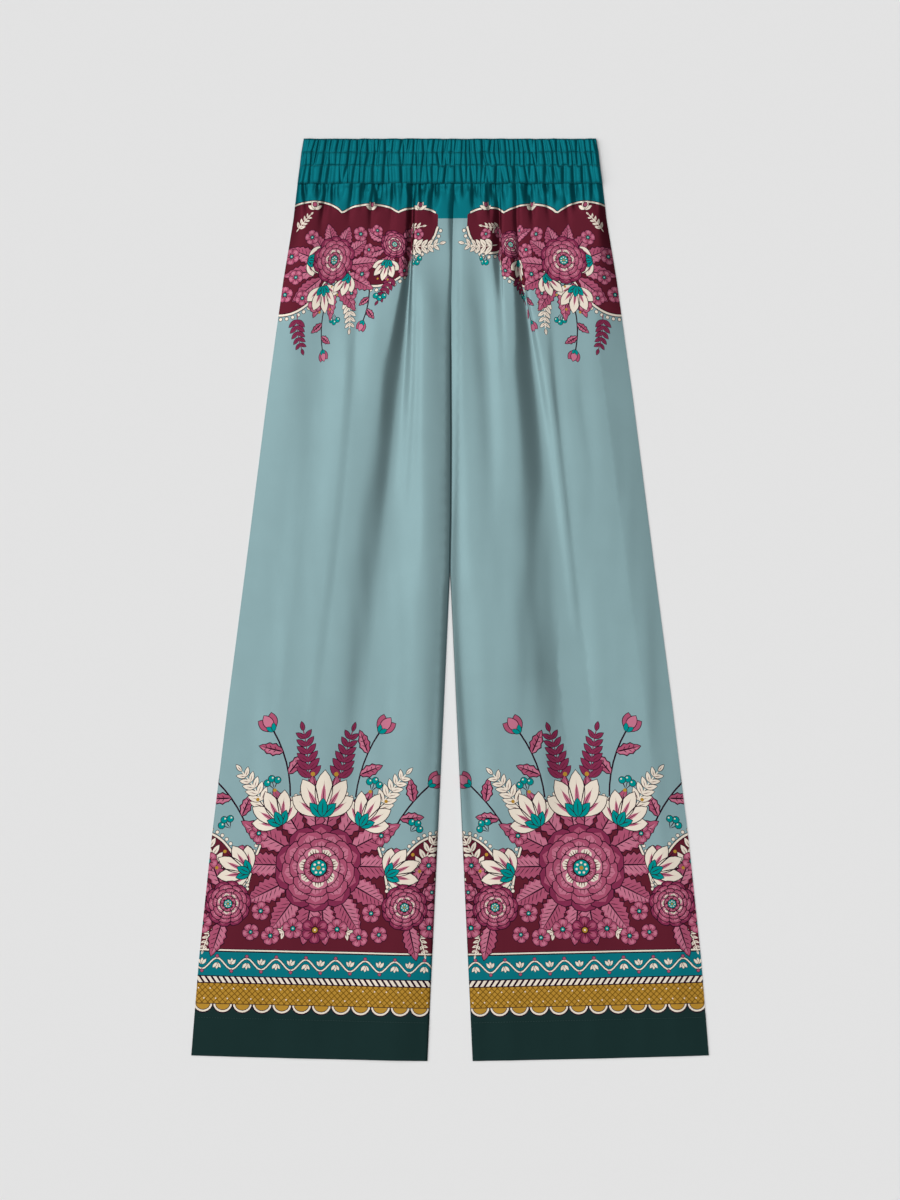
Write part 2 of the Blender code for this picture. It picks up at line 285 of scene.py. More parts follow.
# The ground colours of the border, from the hem up.
LATTICE_LOW, LATTICE_TOP, CORD_TOP, VINE_TOP = 61.0, 84.0, 93.0, 121.0
PAST_SEAMS = 8.0  # the print runs on past both seams
across = np.linspace(-PAST_SEAMS, CUT_HEM + PAST_SEAMS, 90)
wide = (-PAST_SEAMS, CUT_HEM + PAST_SEAMS)


def band(dye, low, top):
    stamp(dye, [(wide[0], low), (wide[1], low), (wide[1], top), (wide[0], top)])


border_arches = ((MIDDLE, 84, 150), (0, 56, 100), (CUT_HEM, 56, 100))
border_top = np.column_stack([across, arches(across, border_arches, 158)])
stamp("burgundy", np.vstack([border_top, [(wide[1], VINE_TOP), (wide[0], VINE_TOP)]]))
edging(border_top)
band("dark_green", -PAST_SEAMS, LATTICE_LOW)
SCALLOPS = 12
for number in range(SCALLOPS):
    scallop = (CUT_HEM * (number + 0.5) / SCALLOPS, LATTICE_LOW)
    reach = CUT_HEM / SCALLOPS / 2
    disc("ink", scallop, reach + 0.6, 20, 0.95)
    disc("cream", scallop, reach - 0.6, 20, 0.93)
    disc("ink", scallop, reach - 2.6, 18, 0.9)
    disc("gold", scallop, reach - 3.3, 18, 0.88)
band("gold", LATTICE_LOW, LATTICE_TOP)
LATTICE_PITCH = CORD_PITCH = 6.8
lean = LATTICE_TOP - LATTICE_LOW
for start in np.arange(-lean, CUT_HEM + LATTICE_PITCH, LATTICE_PITCH):
    for low_x, top_x in ((start, start + lean), (start + lean, start)):
        ribbon("dark_gold", [(low_x, LATTICE_LOW), (top_x, LATTICE_TOP)], 0.9)
for start in np.arange(0, CUT_HEM, LATTICE_PITCH * 2):
    for place, row in ((0.5, 0.25), (1.5, 0.75)):
        disc("cream", (start + LATTICE_PITCH * place, LATTICE_LOW + lean * row), 0.9, 6)
band("ink", LATTICE_LOW - 0.8, LATTICE_LOW)
band("ink", LATTICE_TOP, CORD_TOP)
for start in np.arange(-PAST_SEAMS, CUT_HEM + PAST_SEAMS, CORD_PITCH):
    low, top = LATTICE_TOP + 1.1, CORD_TOP - 1.1
    stamp("cream", [(start, low), (start + 4.0, low), (start + 8.8, top), (start + 4.8, top)])
band("teal", CORD_TOP, VINE_TOP)
VINE_WAVES = 8
vine_middle = (CORD_TOP + VINE_TOP) / 2
vine = np.column_stack([across, vine_middle + 6.4 * np.sin(across * 2 * np.pi / (CUT_HEM / VINE_WAVES))])
cord(vine, 3.0, 1.6)
for number in range(2 * VINE_WAVES):
    place = CUT_HEM * (number + 0.5) / (2 * VINE_WAVES)
    up = 1 if number % 2 else -1
    crest = (place, vine_middle - 1.0 * up)
    for tilt in (-38, 0, 38):
        inked("cream", 7.4, 3.4, crest, (0 if up > 0 else 180) + tilt, 0.5, belly=0.9, steps=5)
    dot("rose", (place, vine_middle - 8.6 * up), 1.8)
band("ink", VINE_TOP - 0.7, VINE_TOP + 0.7)
band("cream", VINE_TOP + 0.7, VINE_TOP + 2.4)
band("ink", VINE_TOP + 2.4, VINE_TOP + 3.1)

# The bouquet of the border, the same on both sides of the panel's middle. It is drawn small, and
# then grows from its root.
BOUQUET_GROWS = 1.28
bouquet_starts = len(stamps)
for side in (-1, 1):
    def hem_spot(x, height):
        return MIDDLE + side * x, height

    # Stems that rise over the plain ground.
    stalk(hem_spot(30, 262), side * -6, 62, side * -30, 17)
    stalk(hem_spot(64, 226), side * -24, 58, side * -26, 15)
    sprig(hem_spot(14, 272), side * -4, 50, 6, "dark_rose", side * -14, True)
    sprig(hem_spot(50, 246), side * -26, 46, 6, "cream", side * -20, True)
    sprig(hem_spot(92, 186), side * -8, 44, 5, "cream", side * -26, True)
    berries(hem_spot(45, 268), side * -18)
    berries(hem_spot(82, 232), side * -40)
    # Sprigs on the burgundy.
    sprig(hem_spot(110, 176), side * -12, 34, 4, "cream", side * 22)
    sprig(hem_spot(124, 140), side * 40, 30, 4, "cream", side * -30)
    sprig(hem_spot(20, 146), side * -128, 26, 4, "cream", side * 30)
    sprig(hem_spot(92, 142), side * -150, 22, 4, "cream", side * -20)
    # Leaves round the side flowers and the large one.
    for way in (-165, -128, -95, -60, -25, 10):
        leaf(turned([(0, 15)], hem_spot(80, 164), side * way)[0], side * way, 34, 14, teeth=6)
    for way in (-8, -34, -62, -90, -118, -146, -172):
        length = 52 if abs(way) < 80 else 42
        leaf(turned([(0, 30)], hem_spot(0, 200), side * way)[0], side * way, length, 20, teeth=8)
    for x, height, radius in ((20, 143, 10), (40, 136, 9), (58, 139, 8), (103, 146, 10), (118, 160, 9),
                              (133, 147, 10), (56, 228, 9), (68, 208, 10), (38, 254, 8), (100, 202, 9),
                              (119, 184, 8), (50, 158, 9), (104, 178, 7)):
        blossom(hem_spot(x, height), radius, turn=x * 7 + height)
    lily(hem_spot(136, 196), side * 4, 36)
    lily(hem_spot(36, 236), side * -30, 34)
    lily(hem_spot(62, 192), side * -66, 32)
    peony(hem_spot(80, 164), 22, turn=side * 9)
    blossom(hem_spot(137, 180), 15, 10, 6, "dark_rose", "rose", "gold")
lily((MIDDLE, 244), 0, 42)
blossom((MIDDLE, 142), 13, 0, 6, "dark_rose", "rose", "gold")
peony((MIDDLE, 198), 42)
root = np.array([MIDDLE, VINE_TOP])
for number, (dye, outline) in enumerate(stamps[bouquet_starts:], bouquet_starts):
    stamps[number] = (dye, root + BOUQUET_GROWS * (outline - root))

# The swag at the hips, from the waistband seam down, deepest at the side seam.
TEAL_DEPTH = 40.0
PAST_WAIST = 12.0
waist_wide = cut_width(CUT_LENGTH) + PAST_SEAMS
hip_across = np.linspace(-PAST_SEAMS, waist_wide + 4, 80)
stamp("teal", [(wide[0], CUT_LENGTH - TEAL_DEPTH), (wide[1], CUT_LENGTH - TEAL_DEPTH),
               (wide[1], CUT_LENGTH + PAST_WAIST), (wide[0], CUT_LENGTH + PAST_WAIST)])
SIDE = cut_width(CUT_LENGTH - 100)  # where the side seam runs beside the swag
swag_scallops = ((SIDE, 66, 112), (SIDE - 118, 56, 78), (SIDE - 184, 34, 40))
swag_low = CUT_LENGTH - arches(hip_across, swag_scallops, TEAL_DEPTH)
hangs = swag_low < CUT_LENGTH - TEAL_DEPTH - 0.1
SWAG_DEPTH = 38  # where the swag starts between the waves of its top, below the waistband seam
swag_waves = ((SIDE - 30, 40, 17), (SIDE - 110, 42, 14), (SIDE - 182, 36, 10))
swag_top = np.maximum(CUT_LENGTH - SWAG_DEPTH + arches(hip_across, swag_waves, 0), swag_low)
swag_low, swag_top = (np.column_stack([hip_across, height]) for height in (swag_low, swag_top))
stamp("burgundy", np.vstack([swag_top[hangs], swag_low[hangs][::-1]]))
edging(swag_low[hangs], -1.0)
cord(swag_top[hip_across > SIDE - 216], 3.6, 2.0)


def hip_spot(inwards, down):
    return SIDE - inwards, CUT_LENGTH - down


for inwards in (30, 110, 190):
    for tilt in (-62, -22, 22, 62):
        inked("cream", 10, 4.2, hip_spot(inwards, 30), tilt, 0.5, belly=0.9, steps=5)
    dot("rose", hip_spot(inwards, 24), 2.4, 10, 0.8)
sprig(hip_spot(176, 70), 100, 44, 5, "cream", -28, True)
sprig(hip_spot(20, 150), 178, 42, 5, "dark_rose", -24, True)
sprig(hip_spot(84, 128), 160, 40, 5, "cream", 24, True)
sprig(hip_spot(138, 104), 196, 34, 5, "dark_rose", 18, True)
stalk(hip_spot(52, 146), 186, 46, -26, 14)
stalk(hip_spot(112, 118), 172, 40, 28, 13)
berries(hip_spot(70, 150), 176)
berries(hip_spot(126, 122), 182)
berries(hip_spot(188, 82), 150)
sprig(hip_spot(8, 56), 30, 26, 4, "cream", 24)
sprig(hip_spot(168, 50), 96, 30, 4, "cream", -20)
for way in (-160, -130, -100, -70, -40, -10, 22, 52, 84, 114, 144, 176):
    leaf(turned([(0, 20)], hip_spot(60, 96), way)[0], way, 42 if abs(way) > 60 else 30, 16, teeth=7)
for way in (-150, -105, -60, 60, 105, 150, 190):
    leaf(turned([(0, 13)], hip_spot(136, 72), way)[0], way, 27, 12, teeth=6)
for inwards, down, radius in ((6, 84, 10), (14, 108, 9), (3, 128, 10), (28, 62, 9), (24, 132, 9),
                              (92, 58, 9), (104, 76, 8), (100, 104, 10), (90, 126, 8), (40, 140, 9),
                              (160, 60, 8), (176, 56, 7), (166, 82, 8), (150, 100, 8), (194, 58, 7),
                              (118, 54, 7)):
    blossom(hip_spot(inwards, down), radius, turn=inwards * 5 + down)
lily(hip_spot(48, 118), 168, 32)
lily(hip_spot(84, 104), 222, 28)
lily(hip_spot(26, 88), 98, 26)
lily(hip_spot(128, 88), 186, 24)
peony(hip_spot(60, 88), 29)
peony(hip_spot(136, 70), 17, 12)

# ---------------------------------------------------------------------------------------------
# The cut cloth. Every leg panel is the same flat cut, with its hem turned up and its print on.
# It is cut up into triangles along the edges of the print and on a grid that is finest where the
# waist is gathered. The face and the wrong side share their edge, so a panel is one closed shell.
# ---------------------------------------------------------------------------------------------
HEM_TURN_UP = 46.0
BOW = 0.5  # how far the edges of the cut bow outwards in their middle
SNAP, GRID_SNAP = 0.08, 1e-5  # corners nearer than this are joined, in the print and in the grid alone
GATHERED_FROM = 860  # the cut is drawn up into its gathers above this height
PRINT_STEP, GATHERED_PRINT_STEP = 6.0, 2.2  # longest edge of a triangle along the print
# How far in from both seams the grid has a line of its own, for the steep edges of the fronts.
SEAM_MARGINS = (0.3, 0.6, 0.95, 1.35, 1.8, 2.4, 3.2)
LINES_END = 0.3  # these lines stop so far from the hem and the waist
LINES_CLEAR = 0.5  # and the rest of the grid keeps so far from them
# columns: from, to (above the hem edge), step across, step up
CUT_GRID = ((0.0, 250.0, 5.2, 10.0), (250.0, 875.0, 3.6, 8.0), (875.0, CUT_LENGTH, 1.7, 3.6))


def covers(outline, points):
    """Which of the points lie inside a closed outline."""
    (x, y), (x0, y0) = points.T[:, :, None], outline.T
    x1, y1 = np.roll(outline, -1, 0).T
    crosses = (y0 > y) != (y1 > y)
    with np.errstate(divide="ignore", invalid="ignore"):
        left = x < (x1 - x0) * (y - y0) / (y1 - y0) + x0
    return (crosses & left).sum(1) % 2 == 1


def dyes_at(points):
    """The dye at each point: that of the last stamp that covers it, or the plain ground."""
    found = np.zeros(len(points), int)
    order = np.argsort(points[:, 1])
    heights = points[order, 1]
    for dye, outline in stamps:
        low, high = outline.min(0), outline.max(0)
        near = order[np.searchsorted(heights, low[1]):np.searchsorted(heights, high[1])]
        near = near[(points[near, 0] >= low[0]) & (points[near, 0] <= high[0])]
        if len(near):
            found[near[covers(outline, points[near])]] = dye
    return found


def swell(share):
    """How far an edge of the cut bows outwards at a share of its length."""
    return BOW * np.sin(np.pi * share)


def edge_distances(points):
    """How far inside each of the four edges of the cut the points lie."""
    s, height = points.T
    side, end = swell(height / CUT_LENGTH), swell(s / cut_width(height))
    return np.column_stack([s + side, cut_width(height) + side - s, height + end, CUT_LENGTH + end - height])


def grid_points():
    """Points inside the cut, the lines beside the seams, and the anticlockwise loop round its edge."""
    inside, starts, ends = [], [], []
    for low, high, step_across, step_up in CUT_GRID:
        rows = max(2, round((high - low) / step_up))
        for row in range(rows):
            height = low + (high - low) * row / rows
            if height == 0:
                continue
            width = cut_width(height)
            columns = round(width / step_across)
            shift = 0.25 if row % 2 else -0.25  # neighbouring rows lie half a step apart
            steps = (np.arange(1, columns) + shift) * width / columns
            clear = SEAM_MARGINS[-1] + LINES_CLEAR
            steps = steps[(steps > clear) & (steps < width - clear)]
            inside += [(place, height) for place in steps]
            side = float(swell(height / CUT_LENGTH))
            starts.append((-side, height))
            ends.append((width + side, height))
    lines = []
    heights = np.array([LINES_END] + [height for _, height in starts] + [CUT_LENGTH - LINES_END])
    for margin in SEAM_MARGINS:
        for line in (np.full(len(heights), margin), cut_width(heights) - margin):
            first = len(inside)
            lines += [(first + place, first + place + 1) for place in range(len(heights) - 1)]
            inside += list(zip(line.tolist(), heights.tolist()))
    hem_shares = np.linspace(0, 1, round(CUT_HEM / CUT_GRID[0][2]) + 1)
    waist_shares = np.linspace(1, 0, round(CUT_WAIST / CUT_GRID[-1][2]) + 1)
    hem = np.column_stack([CUT_HEM * hem_shares, -swell(hem_shares)]).tolist()
    waist = np.column_stack([CUT_WAIST * waist_shares, CUT_LENGTH + swell(waist_shares)]).tolist()
    return inside, lines, [tuple(point) for point in hem + ends + waist + starts[::-1]]


def triangles(points, edges, snap):
    """The triangles that keep these edges, as their corners and three corner numbers each."""
    corners, _, faces, _, _, _ = delaunay_2d_cdt(points, edges, [], 0, snap, True)
    return np.array([tuple(corner) for corner in corners]), np.array(faces)


def ring(start, count):
    """The edges of a closed outline whose points are numbered on from start."""
    return [(start + place, start + (place + 1) % count) for place in range(count)]


def moved_on(edges, start):
    """The same edges between points that are numbered on from start."""
    return [(start + one, start + two) for one, two in edges]


def sides_of(faces):
    """The three sides of every triangle, from start to end as it runs."""
    return np.vstack([faces[:, [0, 1]], faces[:, [1, 2]], faces[:, [2, 0]]])


def edges_of(faces):
    """Every side of the triangles as (lower corner, higher corner) and its triangle, sorted."""
    pairs = np.sort(sides_of(faces), 1)
    owner = np.tile(np.arange(len(faces)), 3)
    order = np.lexsort((pairs[:, 1], pairs[:, 0]))
    return pairs[order], owner[order]


def rim_edges(faces):
    """The sides that belong to one triangle only, from start to end as that triangle runs."""
    sides = sides_of(faces)
    key = np.sort(sides, 1)
    _, first, count = np.unique(key[:, 0] * 10**7 + key[:, 1], return_index=True, return_counts=True)
    return sides[first[count == 1]]


def rim_loop(faces):
    """The corners round the rim of the triangles, in order."""
    after = dict(rim_edges(faces).tolist())
    loop = [next(iter(after))]
    while after[loop[-1]] != loop[0]:
        loop.append(after[loop[-1]])
    return loop


def without_slivers(corners, faces):
    """The triangles without the thin ones that only fill the outer side of the rim."""
    on_edge = abs(edge_distances(corners)) < 2 * SNAP
    while True:
        slivers = np.flatnonzero(on_edge[faces].all(1).any(1))
        at_rim = np.isin(faces[slivers], np.unique(rim_edges(faces))).sum(1) >= 2
        if not at_rim.any():
            return faces
        faces = np.delete(faces, slivers[at_rim], axis=0)


def printed_face():
    """The face of the cut as (corners, triangles, dye of each triangle, loop of corners round it)."""
    inside, lines, loop = grid_points()
    points, edges = list(loop), ring(0, len(loop))
    for _, outline in stamps:
        edges += ring(len(points), len(outline))
        points += [tuple(point) for point in outline.tolist()]
    corners, faces = triangles(points, edges, SNAP)
    faces = faces[(edge_distances(corners[faces].mean(1)) > 0).all(1)]
    dye = dyes_at(corners[faces].mean(1))
    pairs, owner = edges_of(faces)
    same = (pairs[1:] == pairs[:-1]).all(1)
    print_edges = pairs[1:][same & (dye[owner[1:]] != dye[owner[:-1]])]
    kept, ends = np.unique(np.vstack([print_edges, rim_edges(faces)]), return_inverse=True)
    points, edges = corners[kept].tolist(), []
    for start, end in ends.reshape(-1, 2).tolist():
        # A long edge of the print is split, so that it can follow the folds.
        one, two = corners[kept[start]], corners[kept[end]]
        longest = GATHERED_PRINT_STEP if max(one[1], two[1]) > GATHERED_FROM else PRINT_STEP
        pieces = math.ceil(math.dist(one, two) / longest)
        chain = [start] + list(range(len(points), len(points) + pieces - 1)) + [end]
        points += [(one + (two - one) * part / pieces).tolist() for part in range(1, pieces)]
        edges += list(zip(chain, chain[1:]))
    edges += moved_on(lines, len(points))
    points = [tuple(point) for point in points] + inside
    corners, faces = triangles(points, edges, SNAP)
    faces = without_slivers(corners, faces)
    return corners, faces, dyes_at(corners[faces].mean(1)), rim_loop(faces)


def from_first_corner(corners, loop):
    """The loop turned to start nearest the cut's first corner, and how far along it each place is."""
    first = int(np.argmin(np.abs(corners[loop]).sum(1)))
    loop = loop[first:] + loop[:first]
    steps = np.linalg.norm(np.diff(corners[loop + loop[:1]], axis=0), axis=1)
    return loop, np.r_[0, np.cumsum(steps)] / steps.sum()


def zipped(outer, outer_at, inner, inner_at):
    """The strip of triangles that joins the rim of the face to the rim of the wrong side."""
    past_end = 2.0
    strip, one, other = [], 0, 0
    outer, inner = outer + outer[:1], inner + inner[:1]
    while one < len(outer) - 1 or other < len(inner) - 1:
        outer_next = outer_at[one + 1] if one < len(outer) - 1 else past_end
        inner_next = inner_at[other + 1] if other < len(inner) - 1 else past_end
        if outer_next <= inner_next:
            strip.append((outer[one + 1], outer[one], inner[other]))
            one += 1
        else:
            strip.append((outer[one], inner[other], inner[other + 1]))
            other += 1
    return np.array(strip)


face_corners, face_triangles, face_dyes, face_loop = printed_face()
inside, lines, loop = grid_points()
edges = ring(0, len(loop)) + moved_on(lines, len(loop))
back_corners, back_triangles = triangles(loop + inside, edges, GRID_SNAP)
back_loop = rim_loop(back_triangles)
face_loop, face_at = from_first_corner(face_corners, face_loop)
back_loop, back_at = from_first_corner(back_corners, back_loop)
FACE = len(face_corners)
rim_triangles = zipped(face_loop, face_at, [corner + FACE for corner in back_loop], back_at)
cut_corners = np.vstack([face_corners, back_corners])
cut_triangles = np.vstack([face_triangles, back_triangles[:, ::-1] + FACE, rim_triangles])

# ---------------------------------------------------------------------------------------------
# How the trousers lie. Each front panel lies loosely on its back panel: it is gathered into the
# waistband, falls in long soft folds that fan out and flatten towards the hem, and comes down to
# the side seam and the inseam. Millimetres: across from the centre front, down from the waist top.
# ---------------------------------------------------------------------------------------------
LENGTH = 1060.0
BAND_DEPTH = 52.0
SEAM_DOWN = 52.05
LEGS_PART_DOWN = 498.0
HEM_INNER = 26.0
HEM_SLANT = 6.5
HALF_SEAM, BACK_HALF_SEAM = 0.03, 0.005
OUTWARDS = {"right": -1, "left": 1}  # which way is away from the middle, by the wearer's side
HEM_STEP = 0.6  # half the width over which the hem thickens by its second layer
SILK = 0.45  # thickness of one layer, a little more than real silk so that it has a clean edge
BACK_LIES_AT = 0.05
FRONT_LIES_AT = 0.7
OUTER_EDGE = np.array((
    (0, 168.0), (16, 170.8), (31, 172.5), (52, 175.3), (93, 180.0), (162, 191.5), (300, 210.5),
    (490, 234.6), (645, 254.7), (806, 274.3), (944, 288.7), (1060, 298.0)))
LOFT = np.array(((52, 4.8), (85, 4.4), (150, 3.8), (400, 3.4), (700, 2.3), (960, 1.0), (1060, 0.5)))

# The long folds. Seen from the waist end with the hems below, each one slopes down to the right to
# its foot, and the next cloth rises or overlaps again there.
# columns: down, across of the foot, width of the slope, how far it drops, width of the way back up
FOLDS = {
    "right": (
        ((53, 42.5, 8, 3.2, 1.4), (120, 43.5, 8, 4.6, 1.3), (162, 44, 10, 6.0, 1.4),
         (190, 46, 15, 6.8, 2.4), (223, 50.5, 21, 7.2, 4), (260, 55, 29, 7.4, 6),
         (300, 58, 31, 7.0, 8), (346, 62.5, 34, 6.3, 12), (392, 65.5, 36, 6.6, 13),
         (438, 71, 40, 6.2, 20), (484, 76, 41, 5.8, 26), (530, 82, 40, 5.4, 30),
         (611, 93, 38, 5.2, 34), (760, 107, 42, 2.4, 40), (880, 114, 44, 0, 44)),
        ((150, 104, 10, 0, 10), (210, 106, 12, 1.4, 12), (260, 109, 12, 1.7, 12),
         (320, 114, 12, 1.4, 12), (390, 120, 12, 1.2, 14), (484, 129, 12, 1.2, 14),
         (576, 140, 13, 0.9, 16), (690, 156, 16, 0.4, 18), (760, 162, 16, 0, 18)),
        ((90, 124, 44, 0, 16), (180, 137, 50, 2.8, 20), (262, 146, 54, 3.8, 24),
         (350, 156, 50, 2.2, 26), (470, 168, 46, 0.6, 26), (560, 174, 46, 0, 26)),
        ((150, 37, 8, 0, 4), (216, 38, 8, 1.0, 4), (300, 40, 8, 1.1, 5), (392, 44, 9, 0.5, 7),
         (440, 46, 9, 0, 7)),
    ),
    "left": (
        ((120, 77, 9, 0, 1.6), (150, 81, 12, 3.0, 2), (185, 87, 15, 5.6, 3), (231, 96, 22, 7.2, 5),
         (260, 101, 29, 7.8, 7), (300, 104, 32, 8.0, 8), (346, 108, 36, 8.2, 11),
         (392, 112, 42, 8.4, 11), (438, 117, 52, 8.4, 11), (484, 124, 56, 8.6, 14),
         (530, 137, 68, 9.8, 16), (611, 142, 72, 11.4, 20), (700, 145, 70, 6.4, 30),
         (800, 144, 68, 2.0, 38), (900, 152, 72, 0, 40)),
        ((53, 57, 10, 2.4, 1.2), (96, 57.3, 12, 4.0, 1.2), (145, 58, 12, 3.6, 1.3),
         (190, 59.5, 9, 1.2, 2), (240, 61, 8, 0.5, 4), (300, 63, 8, 0, 5)),
        ((170, 118, 10, 0, 8), (262, 122, 12, 1.5, 8), (346, 130, 12, 2.3, 9), (438, 139, 12, 2.4, 10),
         (530, 150, 12, 2.1, 12), (600, 156, 13, 1.3, 14), (700, 166, 14, 0, 14)),
        ((110, 30, 20, 0, 6), (190, 40, 24, 3.0, 9), (262, 45, 24, 3.8, 10), (346, 48, 22, 3.4, 12),
         (420, 52, 24, 1.6, 14), (520, 58, 24, 0, 14)),
        ((230, 150, 12, 0, 10), (300, 153, 12, 0.9, 10), (350, 160, 13, 0.7, 10),
         (430, 166, 14, 0, 10)),
        ((120, 10.5, 4, 0, 3), (185, 11, 4, 0.25, 3), (300, 10.5, 4, 0.35, 3), (346, 10, 5, 0.7, 4),
         (392, 10.5, 6, 1.0, 6), (484, 12, 14, 2.6, 8), (530, 13, 17, 3.3, 13),
         (611, 15.5, 19, 3.7, 14), (700, 22, 20, 3.2, 14), (800, 32, 17, 1.8, 10),
         (960, 44, 14, 0.6, 10)),
    ),
}
CREST_SHARE = 0.6  # the part of a fold's drop that stands above the cloth round it
FOLD_SHOULDER = 14  # a crest is this much wider on its far side than the slope
SLOPE_STEEPENS = 1.2  # above 1, the steepest part of a slope lies nearer its foot

# The short creases that run down from the gathered seam.
# columns: across at the seam, drift a millimetre down, length, depth, half width
CREASES = {
    "right": (
        (4, 0.02, 30, 1.1, 1.9), (19, 0.03, 56, 2.0, 2.3), (33, 0.04, 30, 1.7, 1.9),
        (42, 0.06, 190, 2.2, 2.4), (54, 0.06, 44, 2.3, 2.2), (65, 0.07, 70, 1.9, 2.2),
        (75, 0.09, 36, 2.5, 2.2), (87, 0.09, 96, 2.1, 2.5), (98, 0.10, 30, 1.6, 1.9),
        (111, 0.11, 64, 2.3, 2.4), (123, 0.12, 26, 1.8, 2.0), (132, 0.12, 50, 1.2, 2.2),
        (141, 0.13, 80, 2.4, 2.6), (149, 0.13, 24, 1.4, 1.9), (160, 0.14, 50, 1.7, 2.2),
        (168, 0.15, 28, 1.1, 1.8)),
    "left": (
        (15.5, 0.02, 22, 1.4, 1.7), (27, 0.10, 50, 2.2, 2.2), (36, 0.05, 28, 1.3, 1.9),
        (45, 0.04, 66, 2.3, 2.3), (54, 0.06, 92, 2.0, 2.0), (63, 0.05, 44, 1.6, 2.1),
        (75.5, 0.04, 170, 2.3, 2.4), (92, 0.06, 70, 2.8, 2.2), (101, 0.08, 30, 1.5, 1.9),
        (110, 0.10, 58, 2.1, 2.3), (120, 0.10, 26, 1.4, 1.9), (131, 0.12, 72, 1.9, 2.4),
        (143, 0.13, 42, 2.1, 2.2), (154, 0.14, 28, 1.5, 1.9), (164, 0.15, 46, 1.6, 2.1)),
}
SIDE_FALL = {"right": 60.0, "left": 33.0}  # how far in from the side seam the cloth starts to come down
SIDE_FALL_AT_WAIST = 12.0
SIDE_WIDENS = (60, 250)  # down, from the fall at the waist to the full one
SIDE_ROUNDNESS, ROUNDER_AT_WAIST = 1.25, 0.95  # the power of its rounding, and what the waist adds
SIDE_CREST = {"right": 0.0, "left": 1.1}  # how far the cloth stands up there
SIDE_CREST_WIDTH = 26
# The wearer's right front rolls down to the middle, and dives steeply beside the other's edge.
# columns: distance from the seam, height
INSEAM_ROLL = np.array((
    (0, 0), (2, 1.0), (3.4, 1.6), (6.8, 2.85), (10.2, 3.75), (14.8, 4.6), (22, 5.5), (30, 6.5), (60, 10)))
# columns: down, size of the roll, height of the steep part, height of the seam
ROLL_SIZES = np.array((
    (52, 0.6, 0.2, 3.2), (82, 0.7, 0, 3.4), (110, 0.9, 0, 3.2), (145, 1.3, 0, 3.0), (185, 1.2, 0, 2.8),
    (220, 0.9, 1.0, 1.4), (260, 0.75, 2.0, 0.1), (346, 0.75, 1.7, 0), (438, 0.85, 1.6, 0), (500, 0.9, 1.4, 0),
    (530, 0.95, 1.0, 0), (611, 1.0, 0.8, 0), (800, 0.8, 0.6, 0), (960, 0.4, 0.4, 0), (1060, 0.3, 0.3, 0)))
# How far from the seam the steep part starts, and where it ends on the right front and on the left.
STEEP_FROM, STEEP, STEEP_LEFT = -0.3, 1.7, 1.1
ROLL_BLEND = 1.8  # the higher, the sharper the right front turns from its folds into its roll
# columns: down, how far the seam of the fronts lies from the middle
FRONT_SEAM = np.array((
    (52, 5.0), (64, 4.6), (82, 3.4), (110, 2.6), (145, 2.0), (185, 1.0), (260, 1.0), (346, 1.4), (438, 1.0),
    (490, 0)))
# Beside their seam the right front and the left one stand up: how far, how far from the seam, and
# how wide towards the seam and away from it.
INSEAM_CREST, INSEAM_CREST_AT, INSEAM_CREST_WIDTHS = 4.2, 28, (18, 18)
INSEAM_CREST_WIDENS = 28  # so much is added away from the seam, where the legs part and below
FRONT_SEAM_CREST, FRONT_SEAM_CREST_AT, FRONT_SEAM_CREST_WIDTHS = 1.4, 14, (9, 17)
GATHER_SWELL = 2.0  # how far the cloth stands up between the creases just below the band
SWELL_AT_SEAM = 0.35  # as a share of it
SWELL_ENDS = 95.0
LEAST_LIFT = 0.4  # where a fold would sink below this it flattens out
FULL_LOFT = 3.8
TUCKS = 62  # small creases between the others, on each front
# from and to: across at the seam, drift, length, depth, half width
TUCK_SIZES = ((4, 172), (-0.1, 0.2), (10, 42), (0.7, 1.8), (1.2, 1.9))


def smooth(value, start, end):
    """0 before start, 1 after end, with an S-shaped slope between them."""
    share = np.clip((value - start) / (end - start), 0, 1)
    return share * share * (3 - 2 * share)


def hump(away, width):
    """1 in the middle, and next to nothing at twice the width away from it."""
    return np.exp(-((away / width) ** 2))


def groove(away, power, shoulder, reach):
    """Cross-section of a crease, away from its middle in half widths: narrow, with wide shoulders."""
    return 0.8 * np.exp(-(away**power)) + shoulder * hump(away, reach)


def outer_edge(down):
    return np.interp(down, *OUTER_EDGE.T)


def inner_edge(down, half_seam=HALF_SEAM):
    spread = np.clip((down - LEGS_PART_DOWN) / (LENGTH - LEGS_PART_DOWN), 0, None)
    return half_seam + (HEM_INNER - half_seam) * spread


def front_edge(side, down):
    """The fronts meet a little to the wearer's left of the middle."""
    return inner_edge(down) + OUTWARDS[side] * np.interp(down, *FRONT_SEAM.T)


def hem_down(share):
    return LENGTH - HEM_SLANT * share


fold_feet = {
    side: [np.polynomial.Polynomial.fit(*np.array(rows, float).T[:2], 4) for rows in folds]
    for side, folds in FOLDS.items()
}


def folds_at(side, down):
    """For each fold: where its foot is, and the width, drop and way back of its slope."""
    for line, rows in zip(fold_feet[side], FOLDS[side]):
        downs, _, *columns = np.array(rows, float).T
        foot = line(np.clip(down, downs[0], downs[-1]))
        yield (foot, *(np.interp(down, downs, column) for column in columns))


def to_the_right(side, across, foot):
    """Distance from the foot of a fold, rightwards as seen with the hems below."""
    return foot - across if side == "right" else across - foot


